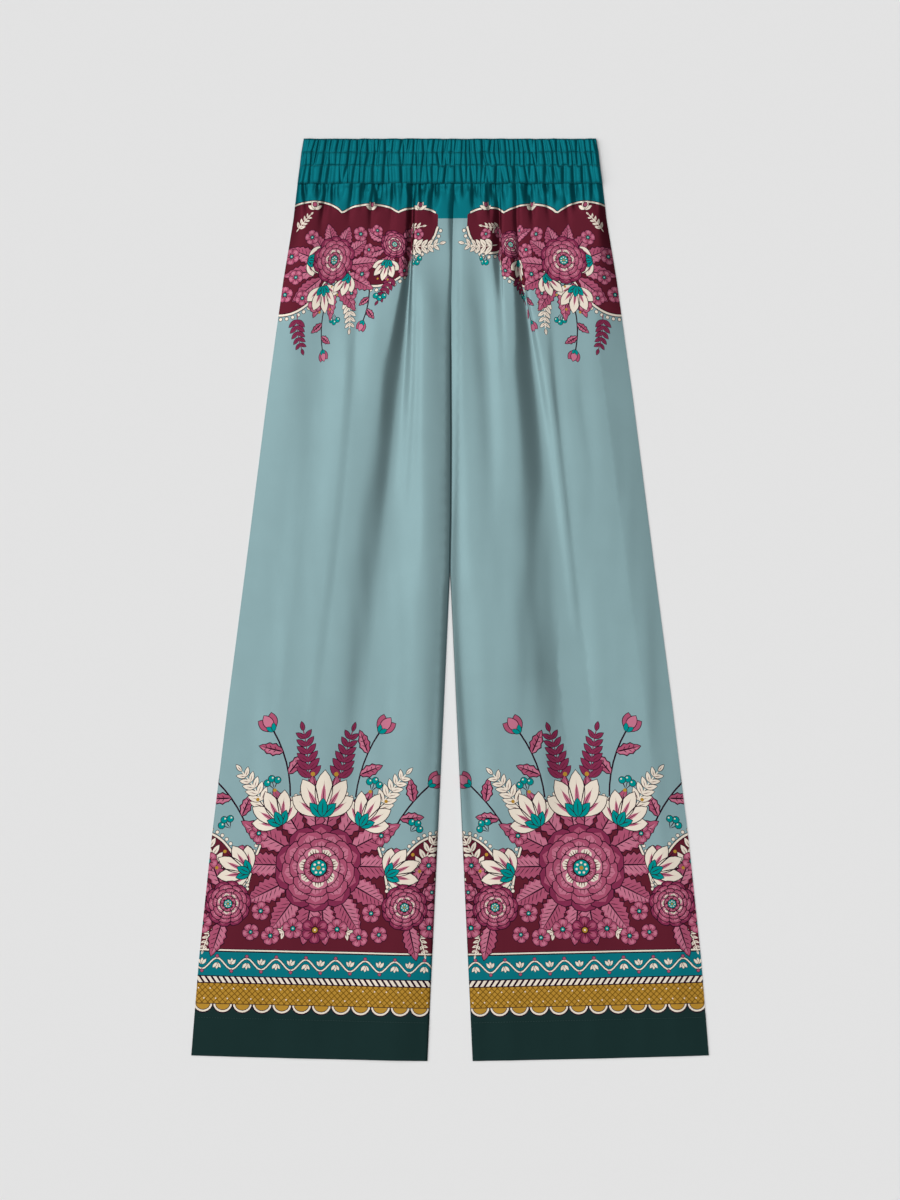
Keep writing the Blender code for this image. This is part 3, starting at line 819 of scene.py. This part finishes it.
def fold_height(side, across, down):
    """All the long folds together, each from its crest down its slope and back up past its foot."""
    total = 0.0
    for foot, width, drop, back in folds_at(side, down):
        past = to_the_right(side, across, foot)
        crest, sink = CREST_SHARE * drop, (1 - CREST_SHARE) * drop
        before = crest * hump(past + width, width + FOLD_SHOULDER)
        slope = crest - drop * smooth(np.clip((past + width) / width, 0, 1) ** SLOPE_STEEPENS, 0, 1)
        after = -sink * hump(past, back)
        total = total + np.where(past < -width, before, np.where(past < 0, slope, after))
    return total


dice = random.Random(7)
tucks = {
    side: [[dice.uniform(*spread) for spread in TUCK_SIZES] for _ in range(TUCKS)]
    for side in CREASES
}


def creases_at(side, down):
    """For each crease: its depth here, where it runs, and its half width."""
    below = np.maximum(down - SEAM_DOWN, 0)
    for start, drift, length, depth, half in (*CREASES[side], *tucks[side]):
        fade = 1 - smooth(below, 0.2 * length, length)
        wander = 0.5 * np.sin(below / 9 + start) * smooth(below, 0, 20)
        yield depth * fade, start + drift * below + wander, half * (1.25 + 0.9 * below / length)


def crease_depth(side, across, down):
    """All the short creases together."""
    total = 0.0
    for depth, middle, half in creases_at(side, down):
        total = total + depth * groove(np.abs((across - middle) / half), 1.6, 0.2, 2.3)
    return total


# columns: width, length and height of a wave
WAVES = ((31, 420, 0.08), (53, 700, 0.16), (19, 260, 0.03), (97, 1100, 0.26))


def unevenness(across, down, seed):
    """Very low waves that run mostly down the leg."""
    total = 0.0
    for wave, (wide, long, size) in enumerate(WAVES):
        phase = seed * 2.4 + wave * 1.9
        sway = 1.5 * np.sin(2 * np.pi * down / long + phase)
        total = total + size * np.sin(2 * np.pi * across / wide + sway + phase)
    return total


def crest_beside_seam(from_seam, at, towards, away):
    """The cloth beside the centre seam stands up, with its own width on each side of its crest."""
    return hump(from_seam - at, np.where(from_seam < at, towards, away))


def front_height(side, across, down):
    """Height of the face of a front panel above the table."""
    seed = 1.0 if side == "right" else 2.0
    inner, outer = front_edge(side, down), outer_edge(down)
    from_side, from_inner = outer - across, across - inner
    below = np.maximum(down - SEAM_DOWN, 0)
    loft = np.interp(down, *LOFT.T)

    # The loft, the folds and the creases.
    lift = loft + unevenness(across, down, seed) * smooth(below, 0, 60)
    lift = lift + fold_height(side, across, down)
    swell = GATHER_SWELL * (SWELL_AT_SEAM + (1 - SWELL_AT_SEAM) * smooth(below, 0, 7))
    swell = swell * (1 - smooth(below, 12, SWELL_ENDS))
    lift = lift + swell - crease_depth(side, across, down) * (0.8 + 0.2 * smooth(below, 0, 6))
    lift = np.where(lift < LEAST_LIFT, LEAST_LIFT * np.exp(np.minimum(lift - LEAST_LIFT, 0)), lift)

    # The way down to the side seam.
    loft = loft / FULL_LOFT
    side_crest = hump(from_side - SIDE_FALL[side], SIDE_CREST_WIDTH) * smooth(down, 250, 420)
    lift = lift + loft * SIDE_CREST[side] * side_crest
    widened = smooth(down, *SIDE_WIDENS)
    side_fall = SIDE_FALL_AT_WAIST + (SIDE_FALL[side] - SIDE_FALL_AT_WAIST) * widened
    roundness = SIDE_ROUNDNESS + ROUNDER_AT_WAIST * (1 - widened)
    lift = lift * (1 - (1 - np.clip((from_side + 0.4) / side_fall, 0, 1)) ** roundness)

    # The way down to the centre seam and the inseam.
    size, drop, stands = (np.interp(down, ROLL_SIZES[:, 0], column) for column in ROLL_SIZES.T[1:])
    if side == "right":
        towards, away = INSEAM_CREST_WIDTHS
        away = away + INSEAM_CREST_WIDENS * smooth(down, 440, 600)
        crest = crest_beside_seam(from_inner, INSEAM_CREST_AT, towards, away)
        lift = lift + INSEAM_CREST * loft**0.5 * crest * smooth(down, 130, 200)
        steep = drop * smooth(from_inner, STEEP_FROM, STEEP)
        rolled = stands + size * np.interp(from_inner / size, *INSEAM_ROLL.T) + steep
        lift = -np.log(np.exp(-ROLL_BLEND * lift) + np.exp(-ROLL_BLEND * rolled)) / ROLL_BLEND
    else:
        crest = crest_beside_seam(from_inner, FRONT_SEAM_CREST_AT, *FRONT_SEAM_CREST_WIDTHS)
        lift = lift + FRONT_SEAM_CREST * crest * smooth(down, 80, 110) * (1 - smooth(down, 250, 350))
        lift = np.minimum(lift, stands + lift * smooth(from_inner, STEEP_FROM, STEEP_LEFT))
    lift = np.maximum(lift, 0)

    # The turned-up hem is a second layer, and its raw edge shows through as a soft step.
    hem_at = hem_down(from_inner / (outer - inner))
    turn_up = HEM_TURN_UP * (hem_at - SEAM_DOWN) / CUT_LENGTH
    hem = SILK * smooth(turn_up - (hem_at - down), -HEM_STEP, HEM_STEP)
    return FRONT_LIES_AT + SILK + lift + hem


def back_height(side, across, down):
    """Height of the underside of a back panel: flat on the table, with a few low ripples."""
    phase = 1 if side == "left" else 0
    ripple = 0.12 + 0.12 * np.sin(across / 17 + 0.8 * np.sin(down / 140 + phase))
    inwards = smooth(outer_edge(down) - across, 0, 20) * smooth(across - inner_edge(down), 0, 20)
    return BACK_LIES_AT + ripple * inwards


# Where the cloth of a front panel is hidden in its folds and creases, a short way across the table
# takes up a long way across the cut. The table gives "across" for each row and share of the cut.
LAY_ROWS = np.linspace(SEAM_DOWN, LENGTH, 260)
LAY_SHARES = np.linspace(0, 1, 420)
LAY_STEPS = 1600  # across the table, to add the hidden cloth up
EVEN_WEIGHT = 0.02  # how much of the hidden cloth is under an even stretch, where a deep crease has 1
CREASE_HIDES, CREASE_SPREAD = 0.5, 0.8  # for each millimetre of its depth, over this share of its half width
# A fold hides cloth by its drop, over a width that grows with its way back.
FOLD_HIDES, FOLD_SPREAD, FOLD_SPREADS = 1.4, 1.5, 0.4


def lay_table(side):
    table = np.empty((len(LAY_ROWS), len(LAY_SHARES)))
    for row, down in enumerate(LAY_ROWS):
        inner, outer = front_edge(side, down), outer_edge(down)
        across = np.linspace(inner, outer, LAY_STEPS)
        height = CUT_LENGTH * (LENGTH - down) / (LENGTH - SEAM_DOWN)
        hidden = max(cut_width(height) - (outer - inner), 0.0)
        weight = np.full(len(across), EVEN_WEIGHT)
        for depth, middle, half in creases_at(side, down):
            weight += CREASE_HIDES * depth * hump(across - middle, CREASE_SPREAD * half)
        for foot, _, drop, back in folds_at(side, down):
            tucked = FOLD_SPREAD + FOLD_SPREADS * back
            weight += FOLD_HIDES * drop / tucked * hump(to_the_right(side, across, foot), tucked)
        density = 1 + hidden * weight / (weight.mean() * (outer - inner))
        cut = np.r_[0, np.cumsum((density[1:] + density[:-1]) / 2)]
        table[row] = np.interp(LAY_SHARES, cut / cut[-1], across)
    return table


def read_lay(table, down, share):
    """The table's value between its rows and columns."""
    row = np.clip((down - LAY_ROWS[0]) / (LAY_ROWS[1] - LAY_ROWS[0]), 0, len(LAY_ROWS) - 1.001)
    column = np.clip(share, 0, 1) * (len(LAY_SHARES) - 1.001)
    i, j = row.astype(int), column.astype(int)
    u, v = row - i, column - j
    above = (1 - v) * table[i, j] + v * table[i, j + 1]
    beneath = (1 - v) * table[i + 1, j] + v * table[i + 1, j + 1]
    return (1 - u) * above + u * beneath


def of_length_one(rows):
    return rows / np.linalg.norm(rows, axis=1)[:, None]


def normals_of(height_at, side, across, down, step=0.15):
    """The surface's own direction, so that the shading doesn't show how the print cuts it up."""
    slope_across = (height_at(side, across + step, down) - height_at(side, across - step, down)) / (2 * step)
    slope_down = (height_at(side, across, down + step) - height_at(side, across, down - step)) / (2 * step)
    return of_length_one(np.column_stack([-OUTWARDS[side] * slope_across, slope_down, np.ones(len(across))]))


def linear(colour):
    """A display colour from 0 to 255 as the light that it stands for."""
    share = np.array(colour) / 255
    return np.where(share <= 0.04045, share / 12.92, ((share + 0.055) / 1.055) ** 2.4)


dye_colours = np.array([np.r_[linear(colour), 1] for colour in DYES.values()])


def wrong_side_dyes(heights):
    """The wrong side shows only the ground colours, paler."""
    dye = np.where(heights < LATTICE_LOW, dye_names.index("dark_green"), dye_names.index("aqua"))
    return np.where(heights > CUT_LENGTH - TEAL_DEPTH, dye_names.index("teal"), dye)


# The panel's place in the texture that an export bakes: the printed ends get the most room.
BAKE_ROWS = ((0, 0.02), (335, 0.6), (CUT_LENGTH - 190, 0.7), (CUT_LENGTH, 0.98))


def bake_places(points, wrong_side):
    v = np.interp(points[:, 1], *np.array(BAKE_ROWS).T)
    share = np.clip(points[:, 0] / cut_width(points[:, 1]), 0, 1)
    u = np.where(wrong_side, 0.985 - 0.12 * share, 0.015 + 0.82 * share)
    return np.column_stack([u, v])


PALER, ADDED_WHITE = 0.75, 0.12  # how the wrong side's colours follow from those of the face
RIM_IN_TEXTURE = 0.006  # width of the strip round the face where the rim is baked
AT_SEAM, AT_END = 0.01, 0.6  # a corner belongs to an edge within this share of the width, or so far off


def as_piece(name, data, material):
    """The mesh as an object of the scene, in one material."""
    data.materials.append(material)
    piece = bpy.data.objects.new(name, data)
    bpy.context.scene.collection.objects.link(piece)
    return piece


def leg_panel(name, side, height_at, face_up, cloth):
    """One panel: the flat cut, laid, with its print."""
    s, height = cut_corners.T
    share = s / cut_width(height)
    down = SEAM_DOWN + (1 - height / CUT_LENGTH) * (hem_down(share) - SEAM_DOWN)
    if face_up:
        across = read_lay(lay_table(side), down, share)
    else:
        inner = inner_edge(down, BACK_HALF_SEAM)
        across = inner + np.clip(share, 0, 1) * (outer_edge(down) - inner)
    level = height_at(side, across, down)
    normals = normals_of(height_at, side, across, down)

    # The wrong side lies square behind the face, by one layer of silk or the two of the hem.
    layers = SILK * (1 + smooth(HEM_TURN_UP - height, -HEM_STEP, HEM_STEP))
    wrong = np.arange(len(cut_corners)) >= FACE
    sign = OUTWARDS[side]
    offset = normals[wrong] * (layers if face_up else -layers)[wrong][:, None]
    across[wrong] -= sign * offset[:, 0]
    down[wrong] += offset[:, 1]
    level[wrong] -= offset[:, 2]
    normals[wrong == face_up] *= -1
    places = np.column_stack([sign * across, LENGTH / 2 - down, level]) / 1000
    faces = cut_triangles if (side == "left") == face_up else cut_triangles[:, ::-1]
    corners = faces.ravel()
    data = bpy.data.meshes.new(name)
    data.from_pydata(places.tolist(), [], faces.tolist())
    data.shade_smooth()

    # One colour for each triangle, paler on the wrong side.
    first_rim = len(faces) - len(rim_triangles)
    dyes = np.r_[face_dyes, wrong_side_dyes(cut_corners[cut_triangles[len(face_dyes):]].mean(1)[:, 1])]
    colours = np.repeat(dye_colours[dyes], 3, axis=0)
    wrong_corners = slice(3 * len(face_dyes), 3 * first_rim)
    colours[wrong_corners, :3] = colours[wrong_corners, :3] * PALER + ADDED_WHITE
    attribute = data.color_attributes.new("dye", "FLOAT_COLOR", "CORNER")
    attribute.data.foreach_set("color", colours.ravel())

    # In the baked texture the rim is a narrow strip round the face. Its normals point outwards.
    at_side = np.where(share < AT_SEAM, -sign, np.where(share > 1 - AT_SEAM, sign, 0))
    at_end = np.where(height < AT_END, -1, np.where(height > CUT_LENGTH - AT_END, 1, 0))
    outward = np.column_stack([at_side, at_end, np.zeros(len(s))])[corners]
    rim = np.arange(len(corners)) >= 3 * first_rim
    pushed = rim & wrong[corners]
    in_texture = bake_places(cut_corners, wrong)[corners]
    edge_place = bake_places(cut_corners, np.zeros(len(s), bool))[corners]
    push = outward[:, :2] * (sign, 1) * RIM_IN_TEXTURE
    in_texture[pushed] = edge_place[pushed] + push[pushed]
    data.uv_layers.new(name="OFBake").uv.foreach_set("vector", in_texture.ravel())
    corner_normals = normals[corners]
    corner_normals[rim] = outward[rim] + (0, 0, 1e-3)
    data.normals_split_custom_set(of_length_one(corner_normals).tolist())
    piece = as_piece(name, data, cloth)
    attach(piece, "root")
    return piece


def new_material(name):
    """A material with its node tree and its shader."""
    made = bpy.data.materials.new(name)
    made.use_nodes = True
    return made, made.node_tree, made.node_tree.nodes["Principled BSDF"]


def fed(tree, node, inputs):
    """The node, with each input set to a value or linked to the output that feeds it."""
    for name, source in inputs.items():
        if isinstance(source, bpy.types.NodeSocket):
            tree.links.new(source, node.inputs[name])
        else:
            node.inputs[name].default_value = source
    return node


DYE_DEPTH = 0.6  # satin shines so much that its dyes are darker than they look


def silk(name, colour=None):
    """Satin: a soft broad shine, with a very fine weave and a hardly visible unevenness of colour."""
    made, tree, shader = new_material(name)
    add = tree.nodes.new
    place = add("ShaderNodeTexCoord").outputs["Object"]
    if colour is None:
        dye = add("ShaderNodeVertexColor")
        dye.layer_name = "dye"
        ground = dye.outputs["Color"]
    else:
        ground = add("ShaderNodeRGB").outputs[0]
        ground.default_value = (*linear(colour), 1)
    blotches = fed(tree, add("ShaderNodeTexNoise"), {"Scale": 24, "Detail": 3, "Vector": place})
    tones = {"To Min": 0.95 * DYE_DEPTH, "To Max": 1.05 * DYE_DEPTH, "Value": blotches.outputs["Fac"]}
    tone = fed(tree, add("ShaderNodeMapRange"), tones).outputs["Result"]
    grey = fed(tree, add("ShaderNodeCombineColor"), {"Red": tone, "Green": tone, "Blue": tone})
    dyed = add("ShaderNodeMix")
    dyed.data_type, dyed.blend_type = "RGBA", "MULTIPLY"
    # Inputs 6 and 7 of this node are its two colours, and output 2 is the mixed one.
    fed(tree, dyed, {"Factor": 1.0, 6: ground, 7: grey.outputs["Color"]})
    threads = fed(tree, add("ShaderNodeMapping"), {"Scale": (1500, 3600, 1), "Vector": place})
    threads = threads.outputs["Vector"]
    weave = fed(tree, add("ShaderNodeTexNoise"), {"Scale": 1, "Detail": 1, "Vector": threads})
    relief = {"Strength": 0.12, "Distance": 0.0001, "Height": weave.outputs["Fac"]}
    bump = fed(tree, add("ShaderNodeBump"), relief)
    fed(tree, shader, {
        "Base Color": dyed.outputs[2], "Normal": bump.outputs["Normal"], "Roughness": 0.34, "Metallic": 0.5,
        "Specular IOR Level": 0.0})
    return made


printed_silk = silk("printed_silk")
for side in ("right", "left"):
    back = leg_panel(f"back_leg_{side}_cloth", side, back_height, False, printed_silk)
    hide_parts(f"back_leg_{side}")
    front = leg_panel(f"front_leg_{side}_cloth", side, front_height, True, printed_silk)
    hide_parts(f"front_leg_{side}")

# ---------------------------------------------------------------------------------------------
# The waistband: a casing of the teal end of the cloth over a wide soft elastic, sewn through in
# three rows, so that each channel puckers on its own. The last row is the seam with the legs, whose
# creases run up into the third channel. The back half is the same, pressed against the table.
# ---------------------------------------------------------------------------------------------
BAND_UNDER = 3.3  # height of the front half's flat side
BACK_BAND_TOP = 3.0  # height of the back half's flat side
BAND_EDGE, BAND_RISE = 0.5, 4.3  # thickness of the front half's edges, and what its crests add
BACK_BAND_EDGE, BACK_BAND_RISE = 0.4, 2.5
STITCH_ROWS = (16.0, 31.2, 50.8)
ROW_PULLS = (0.045, 0.045, 0.005)  # how deep the thread pulls the cloth in, as a share of its height
ROW_WIDTH = 0.55
PUCKERS = 62  # in each of the two upper channels
PUCKER_REACHES = 5  # half widths
DEEPEST_PUCKER = 1.3  # where puckers overlap, they come close to this and no deeper
PUCKER_SHARE = 0.55  # what a pucker of depth 1 takes off the height of the band
ROW_FULLNESS = 0.82  # depth of a pucker where it is sewn, as a share of its depth between the rows
CHANNEL_EDGES = (0.0, *STITCH_ROWS[:2], BAND_DEPTH)
AT_ROW, LOWER_AT_LEG_SEAM = 0.88, 0.2  # height at a row of stitches, and how much lower at the legs
TOP_EDGE, BAND_END = 1.6, 5.0  # how far in the rounding of the top edge and of the two ends reaches
END_SHARE = 0.12  # height at the very ends
# Above a row of stitches and below it, the share of a channel in which its puckers join the others.
MEET_ABOVE, MEET_BELOW = 0.14, 0.1
BAND_COLUMNS = 560
BAND_ROWS = np.r_[
    0, 0.2, 0.6, np.arange(1.2, 15.6, 1.2), 15.6, 16, 16.4, np.arange(17.4, 30.8, 1.2), 30.8, 31.2, 31.6,
    np.arange(32.6, 50.4, 1.3), 50.4, 50.8, 51.2, 52]


def band_puckers(seed):
    """(Where at the top, where at the bottom, depth, half width) of each pucker of the three channels.

    They run on through the rows of stitches, and in the third channel towards the creases of the legs.
    """
    dice = random.Random(seed)
    pitch = 2 / PUCKERS
    lines = []
    for number in range(PUCKERS):
        middle = -1 + pitch * (number + 0.5 + dice.uniform(-0.3, 0.3))
        lines.append([middle + pitch * dice.uniform(-0.3, 0.3) for _ in range(3)])
    channels = []
    for row in (0, 1):
        channels.append([
            (line[row], line[row + 1], dice.uniform(0.35, 1.0), dice.uniform(1.0, 1.8)) for line in lines])
    last = []
    for line in lines[::2]:
        end = line[2] + pitch * dice.uniform(-0.5, 0.5)
        last.append((line[2], end, dice.uniform(0.3, 0.8), dice.uniform(1.0, 1.7)))
    half = float(outer_edge(BAND_DEPTH))
    for side, sign in OUTWARDS.items():
        for start, _, _, depth, width in CREASES[side]:
            end = sign * start / half
            nearest = min((line[2] for line in lines), key=lambda place: abs(place - end))
            last.append((nearest, end, min(1.0, depth / 2.2), width * 1.1))
    return [*channels, last]


def pucker_depth(channel, x, half, v):
    """How deep the puckers of one channel are at x, for a share v of the way down it."""
    total = np.zeros(len(x))
    between = math.sin(math.pi * v) ** 0.6 if 0 < v < 1 else 0
    for top, bottom, depth, width in channel:
        middle = (top + (bottom - top) * v) * half
        near = np.abs(x - middle) < PUCKER_REACHES * width
        total[near] += depth * groove(np.abs((x[near] - middle) / width), 1.8, 0.25, 2.4)
    return DEEPEST_PUCKER * np.tanh(total / DEEPEST_PUCKER) * (ROW_FULLNESS + (1 - ROW_FULLNESS) * between)


def band_profile(channels, x, down):
    """From 0, sewn right down, to 1, the crest of a pucker, along one line across the band."""
    half = float(outer_edge(down))
    part = 0 if down < CHANNEL_EDGES[1] else 1 if down < CHANNEL_EDGES[2] else 2
    low, high = CHANNEL_EDGES[part], CHANNEL_EDGES[part + 1]
    v = (down - low) / (high - low)
    at_row = AT_ROW if part < 2 else AT_ROW - LOWER_AT_LEG_SEAM * v
    belly = at_row + (1 - at_row) * (1 - abs(2 * v - 1) ** 4)
    if part == 0 and v < 0.5:
        belly = 1 - (1 - AT_ROW) * (1 - 2 * v) ** 2
    depth = pucker_depth(channels[part], x, half, v)
    # The puckers of two channels join in the row of stitches between them.
    other, at, share = part, v, 0
    if part < 2 and v > 1 - MEET_ABOVE:
        other, at, share = part + 1, 0.0, 0.5 * (v - (1 - MEET_ABOVE)) / MEET_ABOVE
    elif part == 2 and v < MEET_BELOW:
        other, at, share = part - 1, 1.0, 0.5 * (MEET_BELOW - v) / MEET_BELOW
    if share:
        depth = depth * (1 - share) + pucker_depth(channels[other], x, half, at) * share
    sewn = sum(pull * hump(down - row, ROW_WIDTH) for row, pull in zip(STITCH_ROWS, ROW_PULLS))
    profile = belly - PUCKER_SHARE * depth - sewn
    top_edge = math.sqrt(1 - max(0.0, 1 - down / TOP_EDGE) ** 2)
    from_end = np.clip((half - np.abs(x)) / BAND_END, 0, 1)
    end = END_SHARE + (1 - END_SHARE) * np.sqrt(1 - (1 - from_end) ** 2)
    return np.clip(profile, 0.02, 1.1) * top_edge * end


def band_level(profile, face_up):
    """Height above the table of the gathered side of one half."""
    if face_up:
        return BAND_UNDER + BAND_EDGE + BAND_RISE * profile
    return BACK_BAND_TOP - BACK_BAND_EDGE - BACK_BAND_RISE * profile


def band_half(name, channels, face_up, cloth):
    """One half of the casing as a closed shell, flat where it meets the other half."""
    shares = np.linspace(-1, 1, BAND_COLUMNS + 1)
    waves = [random.Random(5 + spot).uniform(-0.35, 0.35) for spot in range(49)]
    wave = np.interp(shares, np.linspace(-1, 1, len(waves)), waves)  # the top edge isn't quite straight
    flat = BAND_UNDER if face_up else BACK_BAND_TOP
    tops, flats, places = [], [], []
    for down in BAND_ROWS:
        x = shares * float(outer_edge(down))
        y = LENGTH / 2 - down + wave * (1 - smooth(down, 0, 9))
        level = band_level(band_profile(channels, x, down), face_up)
        tops.append(np.column_stack([x, y, level]))
        flats.append(np.column_stack([x, y, np.full(len(x), flat)]))
        places.append(np.column_stack([(shares + 1) / 2, np.full(len(x), down / BAND_DEPTH)]))
    rows, columns = len(BAND_ROWS), BAND_COLUMNS + 1
    gathered = rows * columns
    grid = np.arange(gathered).reshape(rows, columns)
    quads = np.stack([grid[:-1, :-1], grid[1:, :-1], grid[1:, 1:], grid[:-1, 1:]], -1).reshape(-1, 4)
    loop = np.r_[grid[:, 0], grid[-1, 1:], grid[::-1, -1][1:], grid[0, ::-1][1:-1]].tolist()
    under = {corner: gathered + number for number, corner in enumerate(loop)}
    rim = [(one, under[one], under[two], two) for one, two in zip(loop, loop[1:] + loop[:1])]
    faces = quads.tolist() + rim + [[under[corner] for corner in loop[::-1]]]
    if not face_up:
        faces = [list(reversed(face)) for face in faces]
    data = bpy.data.meshes.new(name)
    data.from_pydata((np.vstack(tops + [np.vstack(flats)[loop]]) / 1000).tolist(), [], faces)

    # In the baked texture the gathered side is above, its rim a strip round it, the flat side below.
    at = np.vstack(places)
    on_face = np.column_stack([0.02 + 0.96 * at[:, 0], 0.96 - 0.74 * at[:, 1]])
    from_middle = at[loop] - 0.5
    pushed = on_face[loop] + 0.008 * np.sign(from_middle) * (abs(from_middle) > 0.499) * (1, -1)
    flat_place = np.column_stack([0.02 + 0.96 * at[loop, 0], 0.16 - 0.12 * at[loop, 1]])
    bake = data.uv_layers.new(name="OFBake").uv
    for polygon in data.polygons:
        under_places = flat_place if polygon.index == len(faces) - 1 else pushed
        for corner in polygon.loop_indices:
            point = data.loops[corner].vertex_index
            bake[corner].vector = on_face[point] if point < gathered else under_places[point - gathered]
    data.shade_smooth()
    data.set_sharp_from_angle(angle=math.radians(65))
    piece = as_piece(name, data, cloth)
    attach(piece, "root")
    return piece


teal_silk = silk("teal_silk", DYES["teal"])
front_puckers, back_puckers = band_puckers(11), band_puckers(23)
back_band = band_half("waistband_back_cloth", back_puckers, False, teal_silk)
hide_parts("waistband_back")
front_band = band_half("waistband_front_cloth", front_puckers, True, teal_silk)
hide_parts("waistband_front")

# ---------------------------------------------------------------------------------------------
# Sewing: a lockstitch row along each channel edge of the waistband, and one that holds the
# turned-up hem on each panel. Each stitch is a short rounded thread that sinks in at both ends.
# ---------------------------------------------------------------------------------------------
STITCH_LENGTH, STITCH_PITCH, STITCH_THICKNESS = 2.3, 3.1, 0.42
STITCH_SINKS = 0.06
STITCH_HALF = 0.8  # a stitch lies along the line between two places so far from its middle
HEM_ROW_AT = HEM_TURN_UP - 2.0  # above the hem

bpy.ops.mesh.primitive_uv_sphere_add(segments=6, ring_count=4, radius=0.5)
pattern = bpy.context.active_object
pattern.rotation_euler = (0, math.pi / 2, 0)
bpy.ops.object.transform_apply(rotation=True)
stitch_points = np.array([tuple(vertex.co) for vertex in pattern.data.vertices])
stitch_points *= (STITCH_LENGTH, STITCH_THICKNESS, STITCH_THICKNESS)
stitch_faces = [list(polygon.vertices) for polygon in pattern.data.polygons]
bpy.data.objects.remove(pattern)


def thread(name, colour):
    made, tree, shader = new_material(name)
    fed(tree, shader, {"Base Color": (*linear(colour), 1), "Roughness": 0.7})
    return made


def stitch_row(line):
    """Stitches along a line of (x, y, height) points, in millimetres."""
    steps = lengths_along(line)
    stitches = []
    for middle in np.arange(STITCH_PITCH / 2, steps[-1], STITCH_PITCH):
        spots = (middle - STITCH_HALF, middle + STITCH_HALF)
        start, end = np.column_stack([np.interp(spots, steps, axis) for axis in line.T])
        way = Vector(end - start).normalized()
        turn = np.array(Vector((1, 0, 0)).rotation_difference(way).to_matrix())
        place = (start + end) / 2 + (0, 0, STITCH_THICKNESS / 2 - STITCH_SINKS)
        stitches.append(stitch_points @ turn.T + place)
    return stitches


def sewn(name, stitches, material):
    """All the stitches of one name as one piece."""
    first_points = range(0, len(stitches) * len(stitch_points), len(stitch_points))
    faces = [[corner + first for corner in face] for first in first_points for face in stitch_faces]
    data = bpy.data.meshes.new(name)
    data.from_pydata((np.vstack(stitches) / 1000).tolist(), [], faces)
    data.shade_smooth()
    piece = as_piece(name, data, material)
    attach(piece, "root")


def band_line(channels, down, face_up):
    x = np.linspace(-1, 1, 700)[2:-2] * float(outer_edge(down))
    level = band_level(band_profile(channels, x, down), face_up) - (0 if face_up else STITCH_THICKNESS)
    return np.column_stack([x, np.full(len(x), LENGTH / 2 - down), level])


def hem_line(side, height_at, raised=0.0):
    share = np.linspace(0.01, 0.99, 300)
    down = hem_down(share) - HEM_ROW_AT
    across = inner_edge(down) + share * (outer_edge(down) - inner_edge(down))
    level = height_at(side, across, down) + raised
    return np.column_stack([OUTWARDS[side] * across, LENGTH / 2 - down, level])


teal_thread, green_thread = thread("teal_thread", (6, 92, 100)), thread("green_thread", (38, 62, 60))
for name, channels, face_up in (("front", front_puckers, True), ("back", back_puckers, False)):
    rows = [stitch for down in STITCH_ROWS for stitch in stitch_row(band_line(channels, down, face_up))]
    sewn(f"waistband_stitches_{name}", rows, teal_thread)
for side in ("right", "left"):
    sewn(f"hem_stitches_{side}_front", stitch_row(hem_line(side, front_height)), green_thread)
    sewn(f"hem_stitches_{side}_back", stitch_row(hem_line(side, back_height, 0.1)), green_thread)

# ---------------------------------------------------------------------------------------------
# The stage: a plain pale floor, a soft key light from the left, a second one from high above, and
# the camera straight above.
# ---------------------------------------------------------------------------------------------
bpy.ops.mesh.primitive_plane_add(size=14)
floor = bpy.context.active_object
floor.name = "floor"
floor_paint, floor_tree, floor_shader = new_material("floor_paint")
fed(floor_tree, floor_shader, {"Base Color": (0.8, 0.8, 0.8, 1), "Roughness": 0.9, "Specular IOR Level": 0.2})
floor.data.materials.append(floor_paint)

# columns: name, elevation in degrees, energy
LIGHTS = (("key", 45, 1.37), ("top", 84, 1.81))
LIGHT_SIZE = 60  # degrees across
FROM_WAIST_END = 0.27  # both lights come from the left, and by this share also from the waist end
for name, elevation, energy in LIGHTS:
    light = bpy.data.lights.new(name, "SUN")
    light.angle = math.radians(LIGHT_SIZE)
    light.energy = energy
    lamp = bpy.data.objects.new(name, light)
    level, fall = math.cos(math.radians(elevation)), math.sin(math.radians(elevation))
    shines = Vector((level, -FROM_WAIST_END * level, -fall))
    lamp.rotation_euler = shines.to_track_quat("-Z", "Y").to_euler()
    bpy.context.scene.collection.objects.link(lamp)
world = bpy.data.worlds.new("studio")
world.use_nodes = True
fed(world.node_tree, world.node_tree.nodes["Background"], {"Color": (1, 1, 1, 1), "Strength": 0.08})
bpy.context.scene.world = world
bpy.context.scene.view_settings.view_transform = "Standard"

CAMERA_HEIGHT = 3.5
FRAME_HEIGHT = 1.38  # what the longer side of the picture takes in at the floor
camera_data = bpy.data.cameras.new("camera")
camera_data.sensor_fit = "AUTO"
camera_data.sensor_width = 36
camera_data.lens = camera_data.sensor_width * CAMERA_HEIGHT / FRAME_HEIGHT
camera = bpy.data.objects.new("camera", camera_data)
camera.location = (0, 0, CAMERA_HEIGHT)
bpy.context.scene.collection.objects.link(camera)
bpy.context.scene.camera = camera
